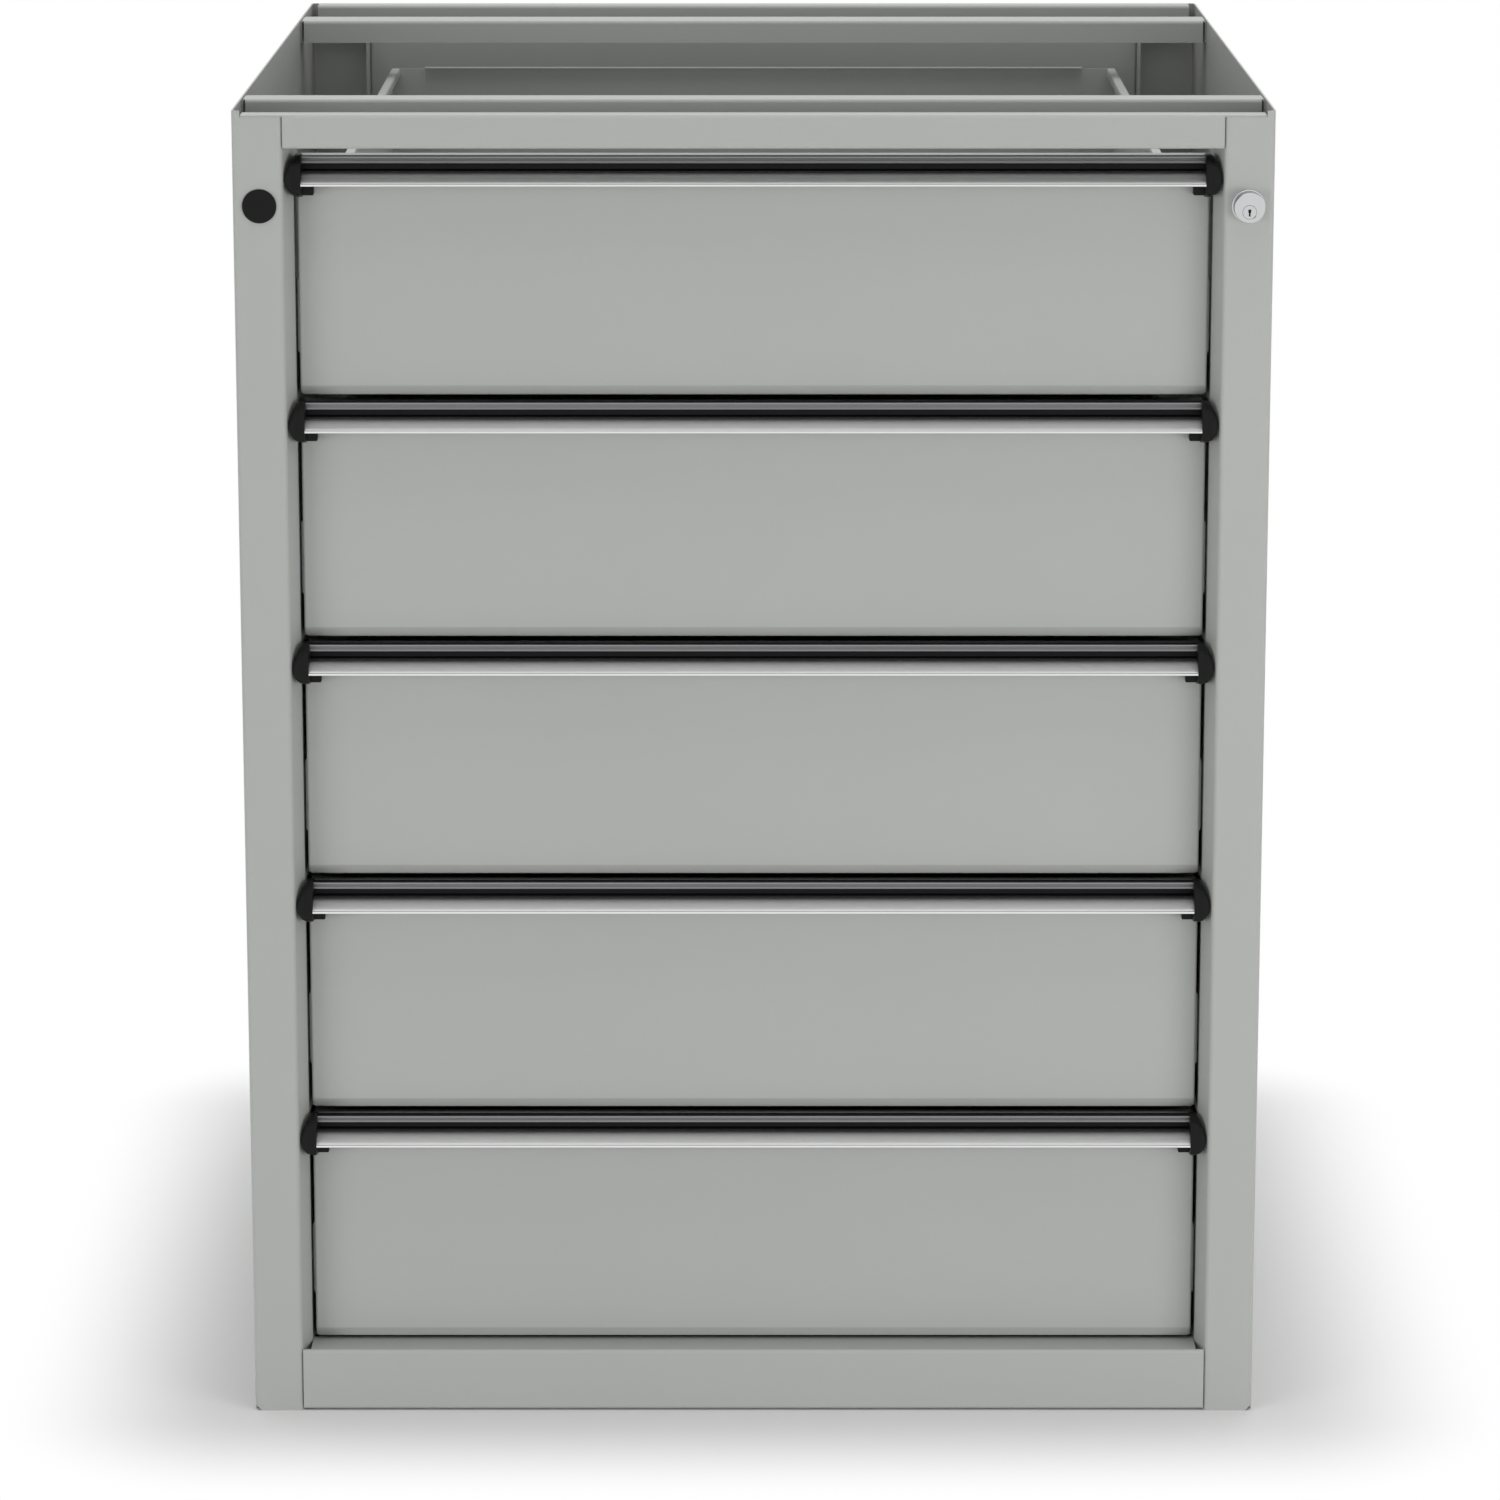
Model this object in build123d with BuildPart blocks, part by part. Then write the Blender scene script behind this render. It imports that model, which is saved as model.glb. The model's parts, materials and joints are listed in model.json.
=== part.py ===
"""Steel drawer cabinet for under a workbench: five drawers on telescopic runners.

Millimetres. +Z is up, the fronts face -Y, and the origin is on the floor under the middle
of the overall box. Depths are measured backwards from the plane of the front posts.
"""

import os
from math import cos, radians, sin

from build123d import *

os.makedirs("parts", exist_ok=True)

# Housing
WIDTH = 605.0
DEPTH = 650.0
HEIGHT = 790.0
SHEET = 1.0
CORNER_BEND = 3.0
SMALL_BEND = 2.0
FIT = 0.3
OVERCUT = 1.0

# Front and rear posts, folded from the side panels
STILE_FACE = 28.9
STILE_TAPER = 5.1
FRONT_POST_DEPTH = 58.0
REAR_POST_FACE = 40.5
REAR_POST_DEPTH = 45.0
REAR_POST_LIP = 26.0
REAR_LIP_DROP = 90.0
FLOOR_FLANGE = 22.0
TOE_CHAMFER = 4.0

# Rails, traverses, back and base
TOP_RAIL_HEIGHT = 22.2
TOP_FLANGE_DEPTH = 16.0
TOP_FLANGE_SETBACK = 5.2
TOP_FLANGE_DROP = 2.7
BOTTOM_RAIL_TOP = 38.4
BOTTOM_RAIL_GROUND = 1.0
BOTTOM_RAIL_SHELF = 28.0
BOTTOM_RAIL_HEM = 12.0
BOTTOM_RAIL_FOOT = 56.0
RAIL_RETURN = 22.0
RAIL_SEAM = 0.6
TRAVERSE_DROP = 14.5
TRAVERSE_END_GAP = 2.5
FRONT_TRAVERSE_GAP = 1.0
FRONT_TRAVERSE_DEPTH = 24.0
REAR_TRAVERSE_FROM_BACK = 123.0
REAR_TRAVERSE_DEPTH = 31.0
BACK_FLANGE_DEPTH = 16.0
BACK_SIDE_SPACE = 5.0
BASE_UPTURN = 25.0

# Drawers
DRAWER_COUNT = 5
DRAWER_BOTTOM_GAP = 2.0
DRAWER_TOP_GAP = 2.4
BETWEEN_FRONTS = 4.3
RECESS = 20.0
FRONT_GAP = 2.2
PAN_DEPTH = 18.0
PAN_BEND = 1.5
LIP_HEIGHT = 5.8
LIP_SLANT = 2.2
PAN_NOTCH = 1.6
TRAY_SHEET = 0.9
TRAY_BOTTOM = 9.0
TRAY_BELOW_PAN = 9.1
TRAY_BACK_GAP = 17.0
TRAY_BEND = 1.5
HEM_WIDTH = 6.0
HEM_DROP = 5.0
CORNER_RETURN = 22.3
BACK_SEAM = 0.7
BACK_RISE = 1.2
BACK_FOOT = 28.0

# Runners, three nested channels on each side of a drawer
RUNNER_SHEET = 1.5
RUNNER_HEIGHT = 45.0
RUNNER_AT = 44.5
RUNNER_BEND = 2.0
RUNNER_SPACE = 23.5
CABINET_RUNNER_TIP = 12.0
MIDDLE_RUNNER_TIP = 7.0
MIDDLE_RUNNER_SHORTER = 9.0
DRAWER_RUNNER_SHORTER = 2.0
RUNNER_START = 1.0

# Grip along the top of each drawer front, as forward distance and drop below its crest
CREST_RISE = 1.0
GRIP_END_GAP = 3.5
CARRIER_FRONT = 4.2
CARRIER_DROP = 18.0
BEAD_FORWARD = 8.0
BEAD_WALL = 1.3
BEAD_DROP = 5.0
BEAD_FOOT = 5.5
SCOOP_TOP = 8.7
SCOOP_BULGE = (13.3, -11.9)
LIP_FORWARD = 20.0
LIP_TOP = 15.3
LIP_NOSE = 0.5
LIP_THICKNESS = 1.1
SCOOP_WALL = 1.4
SCOOP_UNDER_MIDDLE = (13.3, -13.2)
SCOOP_UNDER_END = (7.0, -10.9)

# Black end caps of the grip
CAP_PLATE = 4.0
CAP_RISE = 0.8
CAP_SHOULDER = 8.6
CAP_FORWARD = 20.3
CAP_SHOULDER_MIDDLE = (16.8, -3.2)
CAP_NOSE_TOP = 10.5
CAP_NOSE_BOTTOM = 16.6
CAP_CHIN_MIDDLE = (18.6, -20.4)
CAP_CHIN = (14.0, -22.2)
CAP_HEEL = (5.5, -24.0)
DOME_BULGE = 5.8
DOME_BACK_BULGE = 0.8
DOME_MIDDLE = (14.0, 4.5)
DOME_FRONT = (17.5, 5.4)
DOME_TOP = 0.4
DOME_BOTTOM = 21.4
DOME_CENTRE = 11.5
TAB_WIDTH = 6.5
TAB_REACH = 7.2
TAB_WALL = 1.4
TAB_TOP = 12.8
TAB_BOTTOM = 23.0

# Lock in the right front post, and the blanking plug in the left one
LOCK_FROM_SIDE = 15.1
LOCK_FROM_TOP = 55.3
LOCK_PROUD = 10.0
LOCK_BARREL = 18.0
LOCK_RING = 19.5
LOCK_RING_THICKNESS = 1.5
LOCK_BODY_BACK = 22.0
LOCK_THREAD = 17.6
LOCK_HOLE = 18.0
NUT_FLATS = 22.0
NUT_THICKNESS = 4.0
ROTOR = 8.0
ROTOR_DROP = 2.5
ROTOR_PLAY = 0.05
ROTOR_INSET = 0.2
CAM_TO_BAR = 4.0
ROTOR_TAIL = 6.0
KEYWAY_WIDTH = 1.2
KEYWAY_HEIGHT = 4.6
KEYWAY_DEPTH = 6.0
CAM_THROW = 8.0
CAM_ANGLE = 45.0
CAM_THICKNESS = 2.0
CAM_WIDTH = 9.0
CAM_PIN = 4.0
CAM_SCREW_HEAD = 7.0
CAM_SCREW_HEIGHT = 2.4
PLUG_FROM_SIDE = 15.5
PLUG_FROM_TOP = 55.5
PLUG_HEAD = 20.0
PLUG_SHANK = 17.5
PLUG_PROUD = 1.8
PLUG_RIM = 1.0
PLUG_LENGTH = 6.0

# Locking bar in the right front post, with a tab for each drawer
BAR_FROM_RETURN = 2.5
BAR_WIDTH = 10.0
BAR_AT = 43.0
BAR_THICKNESS = 3.0
BAR_TAIL = 15.0
LUG_PAST_LOCK = 0.6
LUG_HEIGHT = 16.0
BAR_SLOT_HEIGHT = 4.8
BAR_SLOT_RUN = 3.1
TAB_OVERLAP = 2.0
TAB_CLEARANCE = 3.0
LOCK_TAB_HEIGHT = 8.0
SLOT_MARGIN = 1.5
CATCH_BEHIND_BAR = 3.0
CATCH_DEPTH = 10.0
CATCH_BOTTOM = 95.0
CATCH_HEIGHT = 15.0
CATCH_WIDTH = 13.0
GUIDE_WALL = 2.0
GUIDE_HEIGHT = 12.0
GUIDE_AT = 70.0
GUIDE_COUNT = 3

# Worked out from the sizes above
FRONT_Y = LOCK_PROUD / 2 - DEPTH / 2
HALF = WIDTH / 2
INNER_WALL = HALF - SHEET
STILE_EDGE = HALF - STILE_FACE
POST_X = STILE_EDGE - STILE_TAPER
REAR_POST_X = HALF - REAR_POST_FACE
REAR_LIP_AT = DEPTH - REAR_POST_DEPTH
RAIL_TOP = HEIGHT - TOP_FLANGE_DROP
FOLDS_TOP = HEIGHT - TRAVERSE_DROP
FLANGE_REACH = HALF - TOP_FLANGE_SETBACK
BACK_AT = DEPTH - BACK_FLANGE_DEPTH
FRONT_HALF = POST_X - FRONT_GAP
PAN_BACK = RECESS + PAN_DEPTH
TRAY_FLOOR = TRAY_BOTTOM + TRAY_SHEET
GRIP_HALF = FRONT_HALF - GRIP_END_GAP
CAP_OUTER = GRIP_HALF + CAP_PLATE
LOCK_X = HALF - LOCK_FROM_SIDE
LOCK_Z = HEIGHT - LOCK_FROM_TOP
PLUG_X = HALF - PLUG_FROM_SIDE
PLUG_Z = HEIGHT - PLUG_FROM_TOP
ROTOR_BACK = BAR_AT - CAM_TO_BAR
BAR_TRAVEL = 2 * CAM_THROW * sin(radians(CAM_ANGLE))
ROTOR_Z = LOCK_Z - ROTOR_DROP
PIN_Z = ROTOR_Z + CAM_THROW * sin(radians(CAM_ANGLE))
PIN_X = LOCK_X - CAM_THROW * (1 + cos(radians(CAM_ANGLE))) / 2
DRAWERS = range(1, DRAWER_COUNT + 1)
LOWEST_DRAWER = BOTTOM_RAIL_TOP + DRAWER_BOTTOM_GAP
DRAWER_PITCH = (HEIGHT - TOP_RAIL_HEIGHT - DRAWER_TOP_GAP - LOWEST_DRAWER) / DRAWER_COUNT
PAN_HEIGHT = DRAWER_PITCH - BETWEEN_FRONTS
CREST = PAN_HEIGHT + CREST_RISE
TRAY_TOP = PAN_HEIGHT - TRAY_BELOW_PAN
TRAY_HALF_WIDTH = POST_X - RUNNER_SPACE
TRAY_BACK = REAR_LIP_AT - TRAY_BACK_GAP
FRONT_TRAVERSE_AT = FRONT_POST_DEPTH + FRONT_TRAVERSE_GAP
REAR_TRAVERSE_AT = DEPTH - REAR_TRAVERSE_FROM_BACK
BAR_X = POST_X + SHEET + BAR_FROM_RETURN
BAR_BACK = BAR_AT + BAR_THICKNESS
TAB_LIFT = CATCH_BOTTOM + CATCH_HEIGHT + TAB_CLEARANCE
TAB_TIP_X = TRAY_HALF_WIDTH + CATCH_WIDTH - TAB_OVERLAP


def drawer_base(number):
    """Height of the lower edge of a drawer front, where drawer 1 is the top one."""
    return LOWEST_DRAWER + DRAWER_PITCH * (DRAWER_COUNT - number)


def side_view(height=0.0):
    """Plane across the cabinet: local x is depth, local y is height above the given level."""
    return Plane(origin=(0, FRONT_Y, height), x_dir=(0, 1, 0), z_dir=(1, 0, 0))


def grip_view(x, crest):
    """Plane across a grip: local x is forward of the drawer front, local y is above the crest."""
    return Plane(origin=(x, FRONT_Y + RECESS, crest), x_dir=(0, -1, 0), z_dir=(-1, 0, 0))


def plan_view(height):
    """Level plane: local x is across the cabinet, local y is depth."""
    return Plane(origin=(0, FRONT_Y, height))


def front_view(depth, height=0.0):
    """Upright plane at a depth: local x is across, local y is height. Its normal faces forward."""
    return Plane(origin=(0, FRONT_Y + depth, height), x_dir=(1, 0, 0), z_dir=(0, -1, 0))


def bent_sheet(points, bend, side, thickness=SHEET):
    """Section of a folded sheet: a filleted line thickened to one side."""
    with BuildLine() as outline:
        FilletPolyline(*points, radius=bend)
        offset(amount=thickness, side=side)
    make_face(outline.edges())


def block(x, depth, height, mode=Mode.ADD):
    """Box between two x, two depths and two heights."""
    with BuildSketch(plan_view(height[0])) as footprint:
        with Locations(((x[0] + x[1]) / 2, (depth[0] + depth[1]) / 2)):
            Rectangle(x[1] - x[0], depth[1] - depth[0])
    extrude(footprint.sketch, amount=height[1] - height[0], mode=mode)


def write(piece, label):
    """Name a finished piece and store it."""
    piece.part.label = label
    export_step(piece.part, f"parts/{label}.step")


# Housing

def side_panel():
    """Right side panel: wall, front post with its tapered return, rear post and floor flange."""
    line = [
        (POST_X, FRONT_POST_DEPTH),
        (POST_X, RECESS),
        (STILE_EDGE, 0),
        (HALF, 0),
        (HALF, DEPTH),
        (REAR_POST_X, DEPTH),
        (REAR_POST_X, REAR_LIP_AT),
        (REAR_POST_X + REAR_POST_LIP, REAR_LIP_AT),
    ]
    with BuildPart() as panel:
        with BuildSketch(plan_view(0)):
            bent_sheet(line, CORNER_BEND, Side.LEFT)
        extrude(amount=HEIGHT)
        beside = (REAR_POST_X - OVERCUT, FLANGE_REACH + FIT)
        corner = (REAR_POST_X - OVERCUT, REAR_POST_X + CORNER_BEND)
        for across, depth, level in (
            (beside, (-OVERCUT, TOP_FLANGE_DEPTH + FIT), RAIL_TOP - SHEET),
            (beside, (TOP_FLANGE_DEPTH, FRONT_POST_DEPTH + OVERCUT), FOLDS_TOP),
            (beside, (REAR_LIP_AT - OVERCUT, DEPTH - SHEET - FIT), FOLDS_TOP),
            (corner, (REAR_LIP_AT - OVERCUT, DEPTH + OVERCUT), FOLDS_TOP),
            (beside, (REAR_LIP_AT - OVERCUT, REAR_LIP_AT + CORNER_BEND), HEIGHT - REAR_LIP_DROP),
            (beside, (REAR_LIP_AT - OVERCUT, DEPTH + OVERCUT), HEIGHT - SHEET),
        ):
            block(across, depth, (level, HEIGHT + OVERCUT), Mode.SUBTRACT)
        block((HALF - FLOOR_FLANGE, HALF - SHEET / 2), (FRONT_POST_DEPTH, REAR_LIP_AT - FIT), (0, SHEET))
        with BuildSketch(front_view(-OVERCUT)):
            with BuildLine():
                Polyline(
                    (HALF + OVERCUT, -OVERCUT), (HALF - TOE_CHAMFER, -OVERCUT), (HALF - TOE_CHAMFER, 0),
                    (HALF, TOE_CHAMFER), (HALF + OVERCUT, TOE_CHAMFER), close=True,
                )
            make_face()
        extrude(amount=-(CORNER_BEND + 2 * OVERCUT), mode=Mode.SUBTRACT)
    return panel


def right_side_panel():
    """The right panel has the lock hole and a slot for each tab of the locking bar."""
    with BuildPart() as panel:
        add(side_panel())
        with BuildSketch(front_view(-OVERCUT)):
            with Locations((LOCK_X, LOCK_Z)):
                Circle(LOCK_HOLE / 2)
        extrude(amount=-(CORNER_BEND + 2 * OVERCUT), mode=Mode.SUBTRACT)
        for number in DRAWERS:
            tab = drawer_base(number) + TAB_LIFT
            block(
                (POST_X - OVERCUT, POST_X + SHEET + OVERCUT),
                (BAR_AT - SLOT_MARGIN, BAR_BACK + SLOT_MARGIN),
                (tab - BAR_TRAVEL - SLOT_MARGIN, tab + LOCK_TAB_HEIGHT + SLOT_MARGIN),
                Mode.SUBTRACT,
            )
    return panel


def left_side_panel():
    """The left panel is the mirror image, with the hole that the plug closes."""
    with BuildPart() as panel:
        mirror(side_panel().part, about=Plane.YZ)
        with BuildSketch(front_view(-OVERCUT)):
            with Locations((-PLUG_X, PLUG_Z)):
                Circle(LOCK_HOLE / 2)
        extrude(amount=-(CORNER_BEND + 2 * OVERCUT), mode=Mode.SUBTRACT)
    return panel


def rail(line, side):
    """Folded front rail: full face between the posts, returns narrowed to pass the tapers."""
    with BuildPart() as piece:
        with BuildSketch(side_view()):
            bent_sheet(line, SMALL_BEND, side)
        extrude(amount=STILE_EDGE - RAIL_SEAM, both=True)
        for sign in (-1, 1):
            ends = sorted((sign * (POST_X - FIT), sign * HALF))
            block(ends, (SMALL_BEND, FRONT_POST_DEPTH), (0, HEIGHT + OVERCUT), Mode.SUBTRACT)
    return piece


def front_top_rail():
    """Top rail, whose flange lies on the tops of both posts, a little below the traverses."""
    bottom = HEIGHT - TOP_RAIL_HEIGHT
    line = [(RAIL_RETURN, bottom), (0, bottom), (0, RAIL_TOP), (TOP_FLANGE_DEPTH, RAIL_TOP)]
    with BuildPart() as piece:
        add(rail(line, Side.RIGHT))
        for sign in (-1, 1):
            ends = sorted((sign * (POST_X - 2 * SMALL_BEND), sign * FLANGE_REACH))
            block(ends, (SHEET / 2, TOP_FLANGE_DEPTH), (RAIL_TOP - SHEET, RAIL_TOP))
    return piece


def front_bottom_rail():
    """Bottom rail with its shelf under the lowest drawer and its foot under the base."""
    line = [
        (BOTTOM_RAIL_SHELF, BOTTOM_RAIL_TOP - BOTTOM_RAIL_HEM),
        (BOTTOM_RAIL_SHELF, BOTTOM_RAIL_TOP),
        (0, BOTTOM_RAIL_TOP),
        (0, BOTTOM_RAIL_GROUND),
        (BOTTOM_RAIL_FOOT, BOTTOM_RAIL_GROUND),
    ]
    return rail(line, Side.LEFT)


def traverse(start, depth):
    """Channel from side to side, with an end tongue folded down against each wall."""
    end = start + depth
    channel = [
        (start, HEIGHT - TRAVERSE_DROP), (start, HEIGHT), (end, HEIGHT), (end, HEIGHT - TRAVERSE_DROP),
    ]
    tongue = [
        (INNER_WALL - 4 * SMALL_BEND, HEIGHT), (INNER_WALL, HEIGHT), (INNER_WALL, HEIGHT - TRAVERSE_DROP),
    ]
    with BuildPart() as piece:
        with BuildSketch(side_view()):
            bent_sheet(channel, SMALL_BEND, Side.RIGHT)
        extrude(amount=INNER_WALL - TRAVERSE_END_GAP, both=True)
        with BuildSketch(front_view(start + SMALL_BEND)):
            bent_sheet(tongue, SMALL_BEND, Side.RIGHT)
            mirror(about=Plane.YZ)
        extrude(amount=-(depth - 2 * SMALL_BEND))
    return piece


def back_panel():
    """Back between the rear posts: a pan with flanges turned back, and a wider band along its top."""
    ground = BOTTOM_RAIL_GROUND
    upright = [(DEPTH, ground), (BACK_AT, ground), (BACK_AT, HEIGHT), (DEPTH, HEIGHT)]
    band = [(BACK_AT, FOLDS_TOP + FIT), (BACK_AT, HEIGHT), (DEPTH, HEIGHT)]
    across = [(REAR_POST_X, DEPTH - SHEET), (REAR_POST_X, BACK_AT)]
    outline = [(-x, depth) for x, depth in across] + across[::-1]
    with BuildPart() as piece:
        with BuildSketch(side_view()):
            bent_sheet(upright, SMALL_BEND, Side.RIGHT)
        extrude(amount=REAR_POST_X - 2 * SMALL_BEND, both=True)
        with BuildSketch(plan_view(BACK_SIDE_SPACE)):
            bent_sheet(outline, SMALL_BEND, Side.LEFT)
        extrude(amount=HEIGHT - 2 * BACK_SIDE_SPACE)
        with BuildSketch(side_view()):
            bent_sheet(band, SMALL_BEND, Side.RIGHT)
        extrude(amount=FLANGE_REACH, both=True)
    return piece


def base_pan():
    """Floor of the housing, turned up against the walls and lying on the bottom rail's foot."""
    floor = BOTTOM_RAIL_GROUND + SHEET
    line = [
        (-INNER_WALL, floor + BASE_UPTURN), (-INNER_WALL, floor),
        (INNER_WALL, floor), (INNER_WALL, floor + BASE_UPTURN),
    ]
    with BuildPart() as piece:
        with BuildSketch(front_view(FRONT_POST_DEPTH + FIT)):
            bent_sheet(line, SMALL_BEND, Side.LEFT)
        extrude(amount=-(REAR_LIP_AT - FRONT_POST_DEPTH - 2 * FIT))
        front = (BOTTOM_RAIL_SHELF + SMALL_BEND, FRONT_POST_DEPTH + OVERCUT)
        block((FIT - POST_X, POST_X - FIT), front, (floor, floor + SHEET))
        rear = (REAR_LIP_AT - OVERCUT, BACK_AT)
        block((FIT - REAR_POST_X, REAR_POST_X - FIT), rear, (floor, floor + SHEET))
    return piece


def runner_section(centre, web, tip, half_height, side):
    """Channel section of a runner, on the right side, about the runner's centre height."""
    line = [
        (tip, centre - half_height), (web, centre - half_height),
        (web, centre + half_height), (tip, centre + half_height),
    ]
    bent_sheet(line, RUNNER_BEND, side, RUNNER_SHEET)


def cabinet_runners(sign):
    """Fixed runner members of one side, seated on the front post and the rear post's lip."""
    with BuildPart() as runners:
        with BuildSketch(front_view(PAN_BACK + RUNNER_START)):
            for number in DRAWERS:
                centre = drawer_base(number) + RUNNER_AT
                tip = TRAY_HALF_WIDTH + CABINET_RUNNER_TIP
                runner_section(centre, POST_X, tip, RUNNER_HEIGHT / 2, Side.LEFT)
        extrude(amount=-(REAR_LIP_AT - PAN_BACK - RUNNER_START))
    with BuildPart() as placed:
        if sign > 0:
            add(runners)
        else:
            mirror(runners.part, about=Plane.YZ)
    return placed


# Lock, locking bar and plug

def lock_body():
    """Lock housing through the right post, with its bore for the rotor below the middle."""
    with BuildPart() as body:
        with BuildSketch(front_view(-LOCK_PROUD)):
            with Locations((LOCK_X, LOCK_Z)):
                Circle(LOCK_BARREL / 2)
        extrude(amount=-(LOCK_PROUD - SHEET / 2))
        rim = body.edges().filter_by(GeomType.CIRCLE).sort_by(Axis.Y)[0]
        fillet(rim, SHEET)
        with BuildSketch(front_view(-LOCK_RING_THICKNESS)):
            with Locations((LOCK_X, LOCK_Z)):
                Circle(LOCK_RING / 2)
        extrude(amount=-LOCK_RING_THICKNESS)
        with BuildSketch(front_view(-LOCK_RING_THICKNESS)):
            with Locations((LOCK_X, LOCK_Z)):
                Circle(LOCK_THREAD / 2)
        extrude(amount=-(LOCK_BODY_BACK + LOCK_RING_THICKNESS))
        with BuildSketch(front_view(-LOCK_PROUD - OVERCUT)):
            with Locations((LOCK_X, ROTOR_Z)):
                Circle(ROTOR / 2 + ROTOR_PLAY)
        extrude(amount=-(LOCK_PROUD + LOCK_BODY_BACK + 2 * OVERCUT), mode=Mode.SUBTRACT)
    return body


def lock_nut():
    """Hexagon nut that clamps the lock body behind the post's sheet."""
    with BuildPart() as nut:
        with BuildSketch(front_view(SHEET)):
            with Locations((LOCK_X, LOCK_Z)):
                RegularPolygon(NUT_FLATS / 2, 6, major_radius=False, rotation=30)
                Circle(LOCK_THREAD / 2 + ROTOR_PLAY, mode=Mode.SUBTRACT)
        extrude(amount=-NUT_THICKNESS)
    return nut


def lock_rotor():
    """Rotor with its keyway and a thinner tail that carries the cam."""
    with BuildPart() as rotor:
        with BuildSketch(front_view(ROTOR_INSET - LOCK_PROUD)):
            with Locations((LOCK_X, ROTOR_Z)):
                Circle(ROTOR / 2)
        extrude(amount=-(LOCK_PROUD + LOCK_BODY_BACK))
        with BuildSketch(front_view(0)):
            with Locations((LOCK_X, ROTOR_Z)):
                Circle(ROTOR_TAIL / 2)
        extrude(amount=-(ROTOR_BACK - CAM_THICKNESS))
        with BuildSketch(front_view(-LOCK_PROUD)):
            with Locations((LOCK_X, ROTOR_Z)):
                Rectangle(KEYWAY_WIDTH, KEYWAY_HEIGHT)
        extrude(amount=-KEYWAY_DEPTH, mode=Mode.SUBTRACT)
    return rotor


def lock_cam():
    """Cam arm on the rotor's tail, whose pin works in the locking bar's slot."""
    arm = Plane(
        origin=(LOCK_X, FRONT_Y + ROTOR_BACK, ROTOR_Z),
        x_dir=(-cos(radians(CAM_ANGLE)), 0, sin(radians(CAM_ANGLE))),
        z_dir=(0, 1, 0),
    )
    pin_reach = BAR_BACK + OVERCUT - ROTOR_BACK
    with BuildPart() as cam:
        with BuildSketch(arm.offset(-CAM_THICKNESS)):
            with Locations((CAM_THROW / 2, 0)):
                SlotCenterToCenter(CAM_THROW, CAM_WIDTH)
        extrude(amount=CAM_THICKNESS)
        with BuildSketch(arm):
            with Locations((CAM_THROW, 0)):
                Circle(CAM_PIN / 2)
        extrude(amount=pin_reach)
    return cam


def cam_screw():
    """Pan head screw that holds the cam on the rotor's tail."""
    with BuildPart() as screw:
        with BuildSketch(front_view(ROTOR_BACK)):
            with Locations((LOCK_X, ROTOR_Z)):
                Circle(CAM_SCREW_HEAD / 2)
        extrude(amount=-CAM_SCREW_HEIGHT)
        head = screw.edges().filter_by(GeomType.CIRCLE).sort_by(Axis.Y)[-1]
        fillet(head, SHEET)
    return screw


def lock_bar():
    """Flat locking bar with the slotted lug that the cam's pin moves up and down."""
    with BuildPart() as bar:
        lug = (PIN_Z - LUG_HEIGHT / 2, PIN_Z + LUG_HEIGHT / 2)
        length = (LOWEST_DRAWER + GUIDE_AT - BAR_TAIL, lug[1])
        block((BAR_X, BAR_X + BAR_WIDTH), (BAR_AT, BAR_BACK), length)
        block((BAR_X, LOCK_X + LUG_PAST_LOCK), (BAR_AT, BAR_BACK), lug)
        with BuildSketch(front_view(BAR_AT - OVERCUT)):
            with Locations((PIN_X, PIN_Z)):
                SlotCenterToCenter(BAR_SLOT_RUN, BAR_SLOT_HEIGHT)
        extrude(amount=-(BAR_THICKNESS + 2 * OVERCUT), mode=Mode.SUBTRACT)
    return bar


def lock_tabs():
    """Tabs welded to the locking bar, one beside each drawer's catch."""
    with BuildPart() as tabs:
        for number in DRAWERS:
            tab = drawer_base(number) + TAB_LIFT
            block((TAB_TIP_X, BAR_X), (BAR_AT, BAR_BACK), (tab, tab + LOCK_TAB_HEIGHT))
    return tabs


def bar_guides():
    """Guides on the post's return that the locking bar slides in."""
    play = (BAR_X + BAR_WIDTH + FIT, BAR_BACK + FIT)
    with BuildPart() as guides:
        for index in range(GUIDE_COUNT):
            number = 1 + index * (DRAWER_COUNT - 1) // (GUIDE_COUNT - 1)
            low = drawer_base(number) + GUIDE_AT
            height = (low, low + GUIDE_HEIGHT)
            across = (POST_X + SHEET, play[0] + GUIDE_WALL)
            along = (BAR_AT - FIT - GUIDE_WALL, play[1] + GUIDE_WALL)
            block(across, along, height)
            block((BAR_X - FIT, play[0]), (BAR_AT - FIT, play[1]), height, Mode.SUBTRACT)
    return guides


def blanking_plug():
    """Domed black plug that closes the spare lock hole in the left post."""
    with BuildPart() as plug:
        with BuildSketch(front_view(0)):
            with Locations((-PLUG_X, PLUG_Z)):
                Circle(PLUG_HEAD / 2)
        extrude(amount=PLUG_PROUD)
        rim = plug.edges().filter_by(GeomType.CIRCLE).sort_by(Axis.Y)[0]
        fillet(rim, PLUG_RIM)
        with BuildSketch(front_view(0)):
            with Locations((-PLUG_X, PLUG_Z)):
                Circle(PLUG_SHANK / 2)
        extrude(amount=-PLUG_LENGTH)
    return plug


# Drawers

def pan_outline(base, back):
    """Side view of a drawer front: upright face over a lip that slants in to the lower edge."""
    with BuildLine() as outline:
        Polyline(
            (RECESS, base + LIP_HEIGHT), (RECESS + LIP_SLANT, base), (back, base),
            (back, base + PAN_HEIGHT), (RECESS, base + PAN_HEIGHT), close=True,
        )
    make_face(outline.edges())


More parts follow.
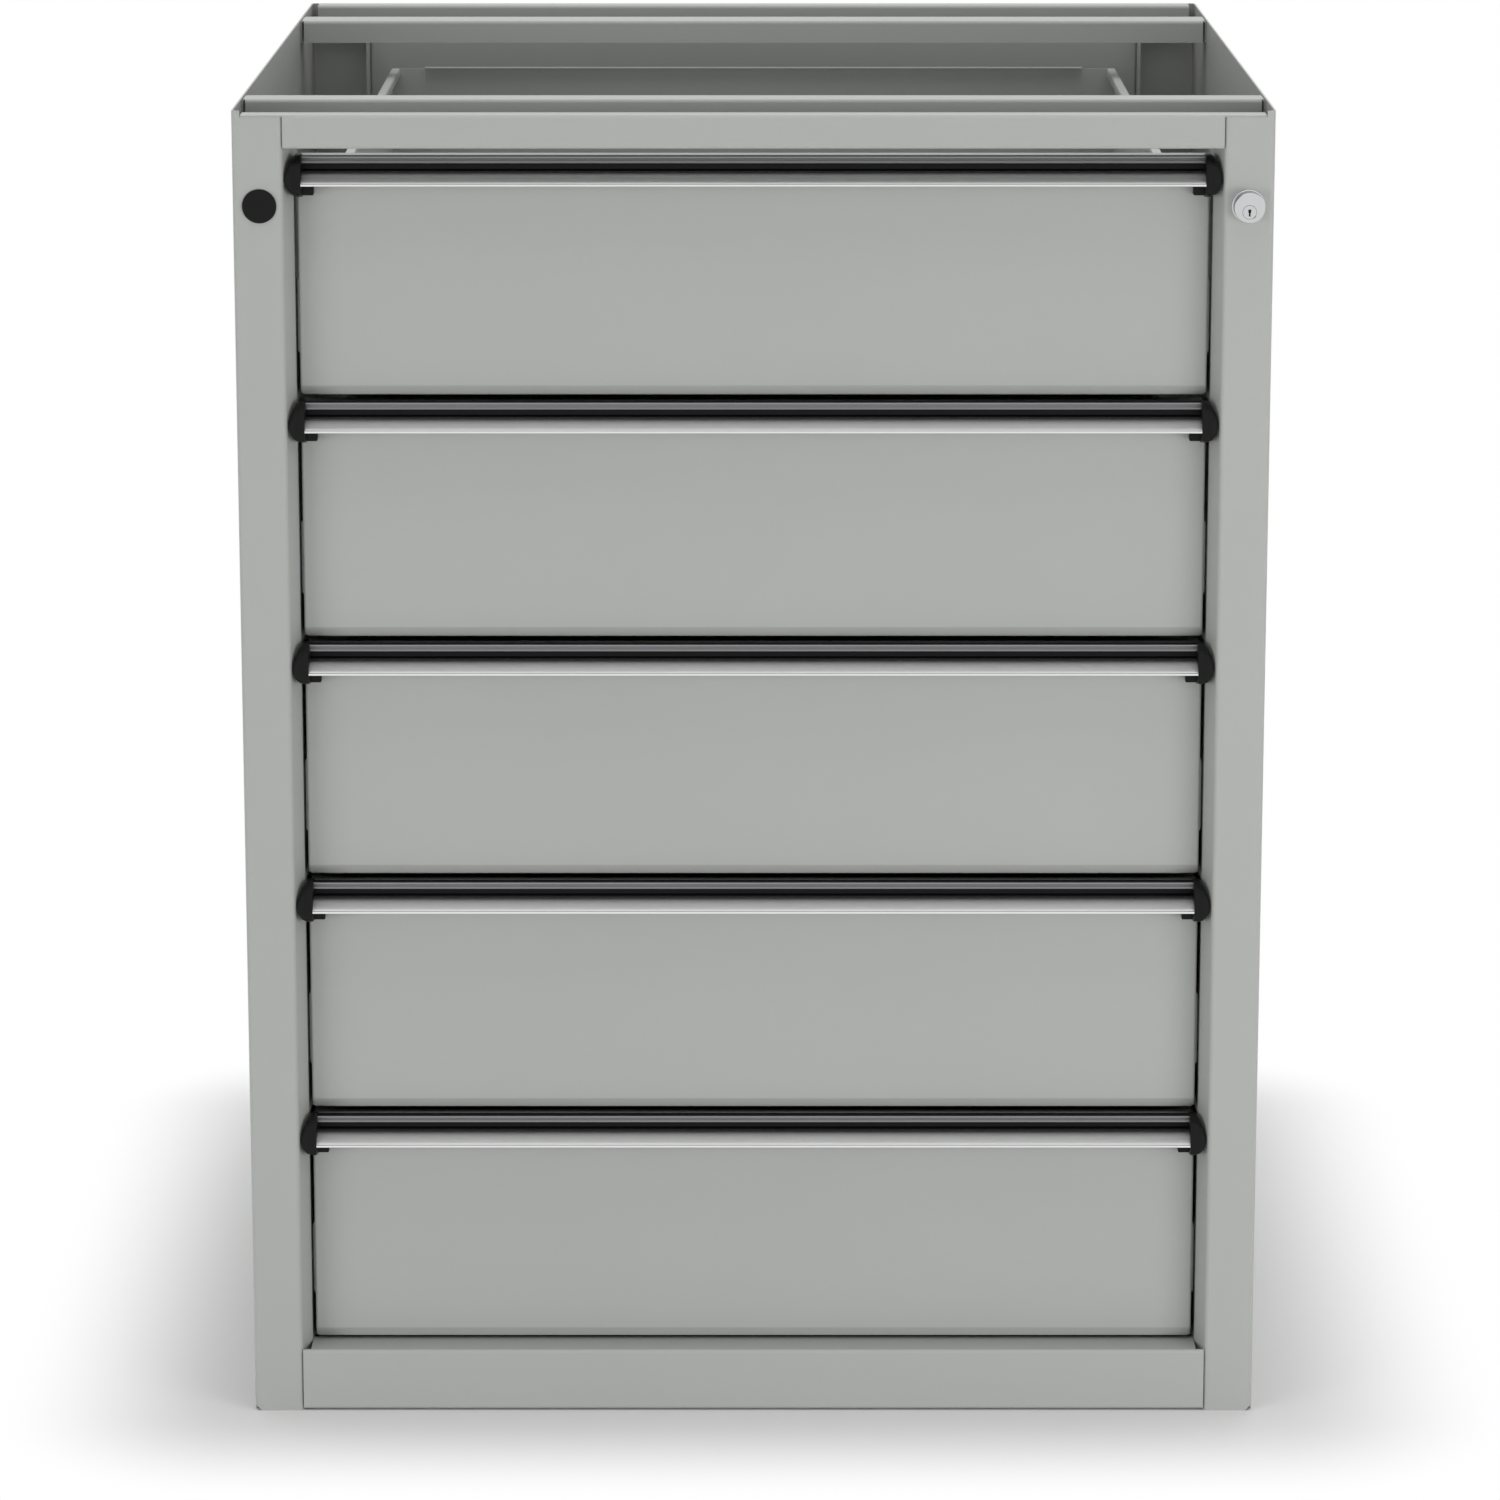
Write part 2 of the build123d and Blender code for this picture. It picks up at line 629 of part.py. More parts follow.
def drawer_front(base):
    """Folded front pan, open at the back, with relief notches at its lower corners."""
    with BuildPart() as pan:
        with BuildSketch(side_view()):
            pan_outline(base, PAN_BACK)
        extrude(amount=FRONT_HALF, both=True)
        fillet(pan.edges().filter_by(Axis.Z).group_by(Axis.Y)[0], PAN_BEND)
        with BuildSketch(side_view()):
            pan_outline(base, PAN_BACK + 2 * SHEET)
            offset(amount=-SHEET, kind=Kind.INTERSECTION)
        extrude(amount=FRONT_HALF - SHEET, both=True, mode=Mode.SUBTRACT)
        for sign in (-1, 1):
            ends = sorted((sign * (FRONT_HALF - PAN_NOTCH), sign * (FRONT_HALF + OVERCUT)))
            block(ends, (RECESS, PAN_BACK - PAN_NOTCH), (base - OVERCUT, base + PAN_NOTCH), Mode.SUBTRACT)
    return pan


def drawer_tray(base):
    """Tray with rolled side rims, its front plate closing the pan, and rear corner returns."""
    low, top = base + TRAY_BOTTOM, base + TRAY_TOP
    half, hem = TRAY_HALF_WIDTH, TRAY_HALF_WIDTH - HEM_WIDTH
    right = [(hem, top - HEM_DROP), (hem, top), (half, top), (half, low)]
    line = [(-x, z) for x, z in right] + right[::-1]
    plate_half = FRONT_HALF - SHEET
    with BuildPart() as tray:
        with BuildSketch(front_view(PAN_BACK)):
            bent_sheet(line, TRAY_BEND, Side.LEFT, TRAY_SHEET)
        extrude(amount=-(TRAY_BACK - PAN_BACK))
        plate = (base + SHEET, base + PAN_HEIGHT - SHEET)
        block((-plate_half, plate_half), (PAN_BACK - SHEET, PAN_BACK + SHEET / 10), plate)
        inner = half - CORNER_RETURN
        for sign in (-1, 1):
            for outer, level in ((half - TRAY_SHEET / 2, top - HEM_DROP), (half - TRAY_BEND, top)):
                ends = sorted((sign * inner, sign * outer))
                block(ends, (TRAY_BACK - TRAY_SHEET, TRAY_BACK), (low + TRAY_SHEET / 2, level))
    return tray


def drawer_back(base):
    """Separate back of the tray: a folded sheet standing on the tray's floor."""
    low, top = base + TRAY_FLOOR, base + TRAY_TOP + BACK_RISE
    line = [
        (TRAY_BACK - BACK_FOOT, low), (TRAY_BACK, low),
        (TRAY_BACK, top), (TRAY_BACK - HEM_WIDTH, top),
    ]
    half = TRAY_HALF_WIDTH - CORNER_RETURN - BACK_SEAM
    with BuildPart() as back:
        with BuildSketch(side_view()):
            bent_sheet(line, TRAY_BEND, Side.LEFT, TRAY_SHEET)
        extrude(amount=half, both=True)
    return back


def drawer_runners(base):
    """Drawer members of both runners, and the catch that the locking bar's tab stops."""
    centre = base + RUNNER_AT
    half_height = RUNNER_HEIGHT / 2 - 2 * (RUNNER_SHEET + FIT)
    tip = POST_X - 2 * (RUNNER_SHEET + FIT)
    with BuildPart() as runners:
        with BuildSketch(front_view(PAN_BACK + RUNNER_START)):
            runner_section(centre, TRAY_HALF_WIDTH, tip, half_height, Side.RIGHT)
            mirror(about=Plane.YZ)
        extrude(amount=-(TRAY_BACK - DRAWER_RUNNER_SHORTER - PAN_BACK - RUNNER_START))
        block(
            (TRAY_HALF_WIDTH, TRAY_HALF_WIDTH + CATCH_WIDTH),
            (BAR_BACK + CATCH_BEHIND_BAR, BAR_BACK + CATCH_BEHIND_BAR + CATCH_DEPTH),
            (base + CATCH_BOTTOM, base + CATCH_BOTTOM + CATCH_HEIGHT),
        )
    return runners


def middle_runners(base):
    """Intermediate members of both runners, nested between the fixed and drawer members."""
    centre = base + RUNNER_AT
    half_height = RUNNER_HEIGHT / 2 - RUNNER_SHEET - FIT
    web = POST_X - RUNNER_SHEET - FIT
    with BuildPart() as runners:
        with BuildSketch(front_view(PAN_BACK + RUNNER_START)):
            runner_section(centre, web, TRAY_HALF_WIDTH + MIDDLE_RUNNER_TIP, half_height, Side.LEFT)
            mirror(about=Plane.YZ)
        extrude(amount=-(TRAY_BACK - MIDDLE_RUNNER_SHORTER - PAN_BACK - RUNNER_START))
    return runners


def grip_carrier(base):
    """Black plastic strip that the grip is clipped on, its top seen behind the crest."""
    with BuildPart() as carrier:
        with BuildSketch(grip_view(0, base + CREST)):
            with BuildLine():
                Polyline(
                    (0, 0), (BEAD_FORWARD - BEAD_WALL, 0), (CARRIER_FRONT, -BEAD_DROP),
                    (CARRIER_FRONT, -CARRIER_DROP), (0, -CARRIER_DROP), close=True,
                )
            make_face()
        extrude(amount=GRIP_HALF, both=True)
    return carrier


def grip(base):
    """Polished aluminium: the bead at the crest and the scooped finger ledge below it."""
    lip_back = (LIP_FORWARD - LIP_NOSE, -LIP_TOP)
    lip_under = (LIP_FORWARD - LIP_NOSE, -LIP_TOP - LIP_THICKNESS)
    lip_tip = (LIP_FORWARD, -LIP_TOP - LIP_THICKNESS / 2)
    leg_front = CARRIER_FRONT + SCOOP_WALL
    with BuildPart() as piece:
        with BuildSketch(grip_view(0, base + CREST)):
            with BuildLine():
                Polyline(
                    (BEAD_FORWARD - BEAD_WALL, 0), (BEAD_FORWARD, 0),
                    (BEAD_FOOT, -BEAD_DROP), (CARRIER_FRONT, -BEAD_DROP), close=True,
                )
            make_face()
            with BuildLine():
                ThreePointArc((CARRIER_FRONT, -SCOOP_TOP), SCOOP_BULGE, lip_back)
                ThreePointArc(lip_back, lip_tip, lip_under)
                ThreePointArc(lip_under, SCOOP_UNDER_MIDDLE, SCOOP_UNDER_END)
                Polyline(
                    SCOOP_UNDER_END, (leg_front, SCOOP_UNDER_END[1] - SCOOP_WALL),
                    (leg_front, -CARRIER_DROP), (CARRIER_FRONT, -CARRIER_DROP), (CARRIER_FRONT, -SCOOP_TOP),
                )
            make_face()
        extrude(amount=GRIP_HALF, both=True)
    return piece


def cap_outline():
    """Side view of an end cap: a rounded shoulder, a short nose and a chin back to the heel."""
    with BuildLine() as outline:
        Line((0, CAP_RISE), (CAP_SHOULDER, CAP_RISE))
        ThreePointArc((CAP_SHOULDER, CAP_RISE), CAP_SHOULDER_MIDDLE, (CAP_FORWARD, -CAP_NOSE_TOP))
        Line((CAP_FORWARD, -CAP_NOSE_TOP), (CAP_FORWARD, -CAP_NOSE_BOTTOM))
        ThreePointArc((CAP_FORWARD, -CAP_NOSE_BOTTOM), CAP_CHIN_MIDDLE, CAP_CHIN)
        Polyline(CAP_CHIN, CAP_HEEL, (0, CAP_HEEL[1]), (0, CAP_RISE))
    make_face(outline.edges())


def right_end_cap(base):
    """Right end cap: a dome towards the post, a plate over the section and an inner tab."""
    crest = base + CREST
    reach = CAP_OUTER + DOME_BULGE
    plan = [
        (CAP_OUTER, RECESS),
        (CAP_OUTER + DOME_BACK_BULGE, RECESS),
        (CAP_OUTER + DOME_MIDDLE[1], RECESS - DOME_MIDDLE[0]),
        (CAP_OUTER + DOME_FRONT[1], RECESS - DOME_FRONT[0]),
        (reach, RECESS - CAP_FORWARD),
        (CAP_OUTER, RECESS - CAP_FORWARD),
    ]
    with BuildPart() as cap:
        with BuildSketch(grip_view(reach, crest)):
            cap_outline()
        extrude(amount=DOME_BULGE)
        with BuildSketch(plan_view(crest + CAP_HEEL[1])):
            with BuildLine():
                Polyline(*plan, close=True)
            make_face()
        extrude(amount=CAP_RISE - CAP_HEEL[1], mode=Mode.INTERSECT)
        with BuildSketch(front_view(RECESS, crest)):
            with BuildLine():
                ThreePointArc((CAP_OUTER, DOME_TOP), (reach, -DOME_CENTRE), (CAP_OUTER, -DOME_BOTTOM))
                Line((CAP_OUTER, -DOME_BOTTOM), (CAP_OUTER, DOME_TOP))
            make_face()
        extrude(amount=CAP_FORWARD, mode=Mode.INTERSECT)
        with BuildSketch(grip_view(CAP_OUTER, crest)):
            cap_outline()
        extrude(amount=CAP_PLATE)
        tab = (GRIP_HALF - TAB_WIDTH, GRIP_HALF + CAP_PLATE / 2)
        block(tab, (RECESS - TAB_REACH, RECESS), (crest - TAB_BOTTOM, crest - CARRIER_DROP))
        front = (RECESS - TAB_REACH, RECESS - TAB_REACH + TAB_WALL)
        block(tab, front, (crest - TAB_BOTTOM, crest - TAB_TOP))
    return cap


def end_caps(base):
    """Both end caps of a grip."""
    with BuildPart() as caps:
        add(right_end_cap(base))
        mirror(about=Plane.YZ)
    return caps


write(right_side_panel(), "right_side_panel")
write(left_side_panel(), "left_side_panel")
write(front_top_rail(), "front_top_rail")
write(front_bottom_rail(), "front_bottom_rail")
write(traverse(FRONT_TRAVERSE_AT, FRONT_TRAVERSE_DEPTH), "front_traverse")
write(traverse(REAR_TRAVERSE_AT, REAR_TRAVERSE_DEPTH), "rear_traverse")
write(back_panel(), "back_panel")
write(base_pan(), "base_pan")
write(cabinet_runners(1), "right_cabinet_runners")
write(cabinet_runners(-1), "left_cabinet_runners")
write(lock_body(), "lock_body")
write(lock_nut(), "lock_nut")
write(lock_rotor(), "lock_rotor")
write(lock_cam(), "lock_cam")
write(cam_screw(), "lock_cam_screw")
write(lock_bar(), "lock_bar")
write(lock_tabs(), "lock_tabs")
write(bar_guides(), "lock_bar_guides")
write(blanking_plug(), "blanking_plug")
for number in DRAWERS:
    level = drawer_base(number)
    write(drawer_front(level), f"drawer_{number}_front")
    write(drawer_tray(level), f"drawer_{number}_tray")
    write(drawer_back(level), f"drawer_{number}_back")
    write(drawer_runners(level), f"drawer_{number}_runners")
    write(middle_runners(level), f"drawer_{number}_middle_runners")
    write(grip_carrier(level), f"drawer_{number}_grip_carrier")
    write(grip(level), f"drawer_{number}_grip")
    write(end_caps(level), f"drawer_{number}_grip_caps")
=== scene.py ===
"""Drawer cabinet for under a workbench: its looks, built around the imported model.

Lengths in the functions are millimetres. A point is (across, depth, height), where depth is
measured backwards from the plane of the front posts. Meshes are stored in metres.
"""

import json
from math import pi, radians

import bpy
import numpy as np
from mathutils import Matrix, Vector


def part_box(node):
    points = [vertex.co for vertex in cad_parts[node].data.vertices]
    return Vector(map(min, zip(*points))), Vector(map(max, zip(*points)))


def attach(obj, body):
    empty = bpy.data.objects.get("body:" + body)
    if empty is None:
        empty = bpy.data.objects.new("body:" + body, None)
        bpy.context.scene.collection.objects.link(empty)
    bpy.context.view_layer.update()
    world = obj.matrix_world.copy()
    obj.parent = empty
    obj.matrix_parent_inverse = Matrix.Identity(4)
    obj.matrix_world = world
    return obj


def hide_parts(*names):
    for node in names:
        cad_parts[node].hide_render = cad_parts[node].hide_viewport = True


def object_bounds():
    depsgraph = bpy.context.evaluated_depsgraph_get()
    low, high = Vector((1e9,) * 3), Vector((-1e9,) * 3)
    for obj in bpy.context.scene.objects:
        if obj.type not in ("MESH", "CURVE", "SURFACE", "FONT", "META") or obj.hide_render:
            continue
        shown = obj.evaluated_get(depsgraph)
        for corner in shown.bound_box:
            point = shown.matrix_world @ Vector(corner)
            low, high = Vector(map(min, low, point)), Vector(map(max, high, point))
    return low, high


bl_info = {
    "name": "Drawer cabinet looks",
    "version": (1, 0, 0),
    "blender": (4, 5, 0),
    "location": "3D View > Sidebar > Cabinet",
    "description": "Builds the visible pieces, finishes and stage of a drawer cabinet",
    "category": "Object",
}

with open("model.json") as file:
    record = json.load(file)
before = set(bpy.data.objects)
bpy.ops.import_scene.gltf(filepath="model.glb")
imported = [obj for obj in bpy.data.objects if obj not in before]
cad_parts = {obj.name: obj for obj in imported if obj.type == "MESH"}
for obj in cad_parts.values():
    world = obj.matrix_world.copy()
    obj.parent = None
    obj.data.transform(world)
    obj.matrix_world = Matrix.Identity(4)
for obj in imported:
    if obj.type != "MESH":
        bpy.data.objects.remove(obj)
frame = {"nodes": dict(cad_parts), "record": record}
CAD_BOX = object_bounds()

MM = 0.001
FRONT_Y = -320.0  # plane of the front posts
DRAWERS = range(1, 6)
ARC_STEPS = 6  # sides of a small bend
ROUND_STEPS = 96  # sides of a full circle


# Sizes and colours

def length(name, description, default):
    """A length property in metres."""
    return bpy.props.FloatProperty(
        name=name, description=description, default=default, unit="LENGTH", precision=4,
    )


def colour(name, description, default):
    """A colour property, written as 8-bit display values and stored as scene-linear ones."""
    return bpy.props.FloatVectorProperty(
        name=name, description=description, default=[linear(v) for v in default],
        subtype="COLOR", min=0, max=1,
    )


def linear(value):
    """Display value 0-255 to scene-linear: (v + 0.055) / 1.055 to the power 2.4 above the toe."""
    v = value / 255
    return v / 12.92 if v <= 0.04045 else ((v + 0.055) / 1.055) ** 2.4


class CabinetFinishes(bpy.types.PropertyGroup):
    """Colours of the cabinet's finishes."""

    paint: colour("Paint", "Light grey powder coat of the housing and drawers", (176, 178, 175))
    aluminium: colour("Aluminium", "Polished grip profile", (232, 232, 232))
    # The bead's colour is painted shade and painted reflection: a darker copy of the grip's aluminium,
    # standing in for the shade under the gap above and the dark it mirrors there
    bead: colour("Bead", "Bead along the top of the grip, which mirrors the gap above", (150, 150, 152))
    plastic: colour("Plastic", "Black moulded plastic of the caps, carriers and plug", (20, 20, 21))
    chrome: colour("Chrome", "Plated lock", (204, 205, 206))
    zinc: colour("Zinc", "Zinc plated runners and lock linkage", (188, 190, 192))


class CabinetSizes(bpy.types.PropertyGroup):
    """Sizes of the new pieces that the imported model's boxes don't give."""

    sheet: length("Sheet", "Thickness of the drawer front's sheet", 0.001)
    bend: length("Bend", "Outer bend radius of the drawer front", 0.0015)
    lip_height: length("Lip height", "Height of the slanted lower lip of a drawer front", 0.0058)
    lip_slant: length("Lip slant", "How far the lower lip goes back", 0.0022)
    cap_plate: length("Cap plate", "Thickness of an end cap over the grip's end", 0.004)
    keyway: length("Keyway depth", "Depth of the keyway in the lock's rotor", 0.006)
    camera_lens: bpy.props.FloatProperty(
        name="Lens", description="Focal length of the camera in millimetres", default=142.8, unit="CAMERA",
    )


# Node trees

class Reading:
    """A socket whose arithmetic with numbers and other readings adds Math nodes."""

    def __init__(self, tree, socket):
        self.tree = tree
        self.socket = socket

    def maths(self, operation, *values):
        return self.tree.node("ShaderNodeMath", {"operation": operation}, dict(enumerate(values)))

    def __add__(self, other):
        return self.maths("ADD", self, other)

    def __sub__(self, other):
        return self.maths("SUBTRACT", self, other)

    def __rsub__(self, other):
        return self.maths("SUBTRACT", other, self)

    def __mul__(self, other):
        return self.maths("MULTIPLY", self, other)

    __radd__ = __add__
    __rmul__ = __mul__

    def larger(self, other):
        return self.maths("MAXIMUM", self, other)

    def ramp(self, low, high):
        """Smooth step from 0 at low to 1 at high."""
        return self.tree.node(
            "ShaderNodeMapRange", {"interpolation_type": "SMOOTHSTEP"}, {0: self, 1: low, 2: high},
        )


class Tree:
    """A node tree, with one way to make any node and feed its sockets."""

    def __init__(self, tree):
        self.tree = tree

    def feed(self, socket, value):
        if isinstance(value, Reading):
            self.tree.links.new(value.socket, socket)
        else:
            socket.default_value = value

    def node(self, kind, settings=None, inputs=None, output=0):
        """Makes a node, sets its settings, then its sockets, and returns one output."""
        made = self.tree.nodes.new(kind)
        for name, value in (settings or {}).items():
            setattr(made, name, value)
        for name, value in (inputs or {}).items():
            self.feed(made.inputs[name], value)
        return Reading(self, made.outputs[output]) if made.outputs else None

    def vector(self, operation, *values, output=0):
        """A Vector Math node. LENGTH and DOT_PRODUCT give their number at output 1."""
        return self.node("ShaderNodeVectorMath", {"operation": operation}, dict(enumerate(values)), output)

    def noise(self, place, scale, detail=2.0, roughness=0.5):
        return self.node("ShaderNodeTexNoise", {}, {
            "Vector": place, "Scale": scale, "Detail": detail, "Roughness": roughness,
        })

    def stretched(self, place, scale):
        """Object coordinates scaled on each axis, for a grain that runs one way."""
        return self.node("ShaderNodeMapping", {}, {"Vector": place, "Scale": scale})

    def blend(self, first, second, factor):
        """Colour between two, each with its alpha, by a factor."""
        return self.node(
            "ShaderNodeMix", {"data_type": "RGBA"}, {"Factor": factor, 6: first, 7: second}, output=2,
        )


class Finish(Tree):
    """A material around one Principled shader, whose constants go on its own sockets."""

    def __init__(self, slot, **constants):
        material = bpy.data.materials.new(f"{slot}_finish")
        material.use_nodes = True
        super().__init__(material.node_tree)
        self.shader = self.tree.nodes["Principled BSDF"]
        for socket, value in constants.items():
            self.shader.inputs[socket.replace("_", " ")].default_value = value
        self.place = self.node("ShaderNodeTexCoord", output=3)

    def tint(self, tone, spread, factor):
        """Colour spread about a tone by a factor."""
        dark = (*(v * (1 - spread) for v in tone), 1)
        light = (*(min(1, v * (1 + spread)) for v in tone), 1)
        return self.blend(dark, light, factor)

    def surface(self, colour, roughness, height):
        """Feeds the shader's colour, its roughness, and a bump whose height is in metres."""
        bump = self.node("ShaderNodeBump", {}, {"Strength": 1.0, "Distance": 1.0, "Height": height})
        self.feed(self.shader.inputs["Base Color"], colour)
        self.feed(self.shader.inputs["Roughness"], roughness)
        self.feed(self.shader.inputs["Normal"], bump)


def powder_coat(slot, tone):
    """Satin powder coat: faint orange peel, cloudy film thickness and a panel that is not quite flat."""
    coat = Finish(slot, IOR=1.5)
    peel = coat.noise(coat.place, 620.0, 1.5)
    specks = coat.noise(coat.place, 2300.0, 1.0)
    cloud = coat.noise(coat.place, 7.0, 2.0)
    waves = coat.noise(coat.place, 4.0, 1.0)
    colour = coat.tint(tone, 0.03, cloud * 0.7 + specks * 0.5 - 0.1)
    roughness = 0.37 + peel * 0.06 + cloud * 0.04
    coat.surface(colour, roughness, peel * 0.000012 + waves * 0.0003)


def drawn_aluminium(slot, tone):
    """Polished extrusion with fine die lines along its length."""
    metal = Finish(slot, Metallic=1.0)
    lines = metal.noise(metal.stretched(metal.place, (4.0, 2600.0, 2600.0)), 1.0, 3.0, 0.6)
    broad = metal.noise(metal.stretched(metal.place, (2.0, 500.0, 500.0)), 1.0, 2.0)
    colour = metal.tint(tone, 0.06, lines * 0.6 + broad * 0.4)
    roughness = 0.3 + lines * 0.1 + broad * 0.05
    metal.surface(colour, roughness, lines * 0.000003 + broad * 0.000004)


def moulded_plastic(slot, tone):
    """Black moulded plastic with a fine spark-eroded grain."""
    plastic = Finish(slot, IOR=1.49, Specular_IOR_Level=0.15)
    grain = plastic.noise(plastic.place, 1900.0, 2.0, 0.6)
    flow = plastic.noise(plastic.place, 40.0, 2.0)
    colour = plastic.tint(tone, 0.15, grain * 0.7 + flow * 0.3)
    roughness = 0.3 + grain * 0.14 + flow * 0.05
    plastic.surface(colour, roughness, grain * 0.00002)


def zinc_plate(slot, tone, along):
    """Zinc plated steel: rolling lines along one axis of the strip, and a soft patchy bloom."""
    scale = [1100.0, 1100.0, 1100.0]
    scale[along] = 5.0
    zinc = Finish(slot, Metallic=1.0)
    lines = zinc.noise(zinc.stretched(zinc.place, scale), 1.0, 2.0)
    bloom = zinc.noise(zinc.place, 60.0, 3.0, 0.6)
    colour = zinc.tint(tone, 0.1, lines * 0.4 + bloom * 0.6)
    roughness = 0.28 + lines * 0.1 + bloom * 0.12
    zinc.surface(colour, roughness, lines * 0.000004)


def turned_chrome(slot, tone, centre, keyway):
    """Satin chrome with faint turning rings about the lock's axis: noise on the distance to it.

    Inside the keyway, near the rotor's axis and behind its face, the metal turns to a dull black with no
    shine: painted shade, standing in for the dark of the keyway's deep slot.
    """
    # painted shade: the dull black that fills the keyway in place of the shade its slot gets
    black = (0.004, 0.004, 0.004, 1)
    shade_from, shade_full_at = 0.0001, 0.0006
    shade_within, plated_at = 0.0028, 0.003
    chrome = Finish(slot)

    def off_axis(beside):
        """Distance to the front-to-back line that an offset is measured from."""
        return chrome.vector("LENGTH", chrome.vector("MULTIPLY", beside, (1, 0, 1)), output=1)

    turning = off_axis(chrome.vector("SUBTRACT", chrome.place, centre)) * 5200.0
    rings = chrome.node(
        "ShaderNodeTexNoise", {"noise_dimensions": "1D"}, {"W": turning, "Scale": 1.0, "Detail": 2.0},
    )
    smudge = chrome.noise(chrome.place, 180.0, 2.0)
    beside = chrome.vector("SUBTRACT", chrome.place, keyway)
    behind = chrome.vector("DOT_PRODUCT", beside, (0, 1, 0), output=1)
    # where the painted keyway shade lies: behind the rotor's face and near its axis
    keyway_shade_mask = behind.ramp(shade_from, shade_full_at) * (1 - off_axis(beside).ramp(shade_within, plated_at))
    plated = chrome.tint(tone, 0.05, rings * 0.6 + smudge * 0.4)
    roughness = 0.1 + rings * 0.1 + smudge * 0.05
    chrome.feed(chrome.shader.inputs["Metallic"], 1 - keyway_shade_mask)
    chrome.surface(chrome.blend(plated, black, keyway_shade_mask), roughness, rings * 0.0000015)


# Surfaces

def rounded(corners, closed=True):
    """Polygon with rounded corners, from rows of (a, b, radius).

    Each corner becomes an arc that touches both sides at radius / tan(half the corner's angle)
    from the corner, sampled evenly by angle.
    """
    corners = np.array(corners, float)
    points = []
    for i, (a, b, radius) in enumerate(corners):
        here = np.array([a, b])
        if radius <= 0 or (not closed and i in (0, len(corners) - 1)):
            points.append(here[None])
            continue
        back = corners[i - 1, :2] - here
        ahead = corners[(i + 1) % len(corners), :2] - here
        back, ahead = back / np.hypot(*back), ahead / np.hypot(*ahead)
        half = np.arccos(np.clip(back @ ahead, -1, 1)) / 2
        middle = (back + ahead) / np.hypot(*(back + ahead))
        centre = here + middle * radius / np.sin(half)
        start = here + back * radius / np.tan(half) - centre
        end = here + ahead * radius / np.tan(half) - centre
        turn = np.arctan2(start[0] * end[1] - start[1] * end[0], start @ end)
        angles = turn * np.linspace(0, 1, ARC_STEPS + 1)[:, None]
        spun = start * np.cos(angles) + np.array([-start[1], start[0]]) * np.sin(angles)
        points.append(centre + spun)
    return np.concatenate(points)


def arc_through(start, middle, end, steps):
    """Points on the circle through three points, evenly spaced by angle from start to end."""
    s, m, e = (np.array(p, float) for p in (start, middle, end))
    chords = 2 * np.array([m - s, e - s])
    centre = np.linalg.solve(chords, np.array([m @ m - s @ s, e @ e - s @ s]))
    a0, am, a1 = (np.arctan2(*(p - centre)[::-1]) for p in (s, m, e))
    am, a1 = (am - a0) % (2 * pi), (a1 - a0) % (2 * pi)
    turn = a1 if am < a1 else a1 - 2 * pi
    angles = a0 + turn * np.linspace(0, 1, steps + 1)
    return centre + np.hypot(*(s - centre)) * np.stack([np.cos(angles), np.sin(angles)], 1)


def grid_cells(rows, columns):
    """Quads of a grid, shaped (rows - 1, columns - 1, 4), whose point (i, j) is vertex i * columns + j."""
    i, j = np.indices((rows - 1, columns - 1))
    a = i * columns + j
    return np.stack([a, a + 1, a + columns + 1, a + columns], -1)


def loft(rings, wrap=False):
    """Solid of quads between neighbouring closed rings of equal count.

    Point j of ring i is vertex i * n + j, and a quad joins j and j + 1 of ring i to those of ring i + 1.
    The last ring joins the first, or else a flat polygon closes each end.
    """
    rings = np.asarray(rings)
    count, n = rings.shape[:2]
    i = np.arange(count if wrap else count - 1)[:, None]
    j = np.arange(n)[None]
    a, b = i * n + j, i * n + (j + 1) % n
    c, d = (i + 1) % count * n + (j + 1) % n, (i + 1) % count * n + j
    polygons = [np.stack([a, b, c, d], -1).reshape(-1, 4)]
    if not wrap:
        polygons += [j[:, ::-1], (count - 1) * n + j]
    points = rings.reshape(-1, 3)
    return points, outward(points, polygons)


def outward(points, polygons):
    """Faces turned outwards: the solid's signed volume is made positive.

    It is the sum, over each polygon's fan of triangles, of the triple product of their corners.
    """
    volume = 0.0
    for equal in polygons:
        corners = points[equal]
        volume += np.einsum("fk,fik->", corners[:, 0], np.cross(corners[:, 1:-1], corners[:, 2:]))
    turn = 1 if volume > 0 else -1
    return [face for equal in polygons for face in equal[:, ::turn].tolist()]


def mirrored(points, faces):
    """The same solid on the other side of the cabinet."""
    return points * (-1, 1, 1), [face[::-1] for face in faces]


def joined(*solids):
    """Several solids as one list of points and faces."""
    points, faces, start = [], [], 0
    for solid_points, solid_faces in solids:
        points.append(solid_points)
        faces += [[v + start for v in face] for face in solid_faces]
        start += len(solid_points)
    return np.concatenate(points), faces


def piece(name, solid, body, node, slot, finish=None, sharp=38.0):
    """Makes the object in place, parents it to the empty of the body it rides on, and hides the imported node
    it stands for.
    """
    points, faces = solid
    mesh = bpy.data.meshes.new(name)
    mesh.from_pydata(((points + (0, FRONT_Y, 0)) * MM).tolist(), [], faces)
    mesh.materials.append(finish_of(finish or slot))
    mesh.shade_smooth()
    mesh.set_sharp_from_angle(angle=radians(sharp))
    made = bpy.data.objects.new(name, mesh)
    bpy.context.scene.collection.objects.link(made)
    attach(made, body)
    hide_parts(node)
    return made


def finish_of(name):
    """The material made under a name, mostly a slot's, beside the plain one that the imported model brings."""
    return bpy.data.materials[f"{name}_finish"]


def node_box(node):
    """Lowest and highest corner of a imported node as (across, depth, height)."""
    low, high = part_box(node)
    shift = np.array((0, FRONT_Y, 0))
    return np.array(low) / MM - shift, np.array(high) / MM - shift


def axis_of(node):
    """Where the front-to-back axis of a turned node lies, as (across, height)."""
    low, high = node_box(node)
    return (low[0] + high[0]) / 2, (low[2] + high[2]) / 2


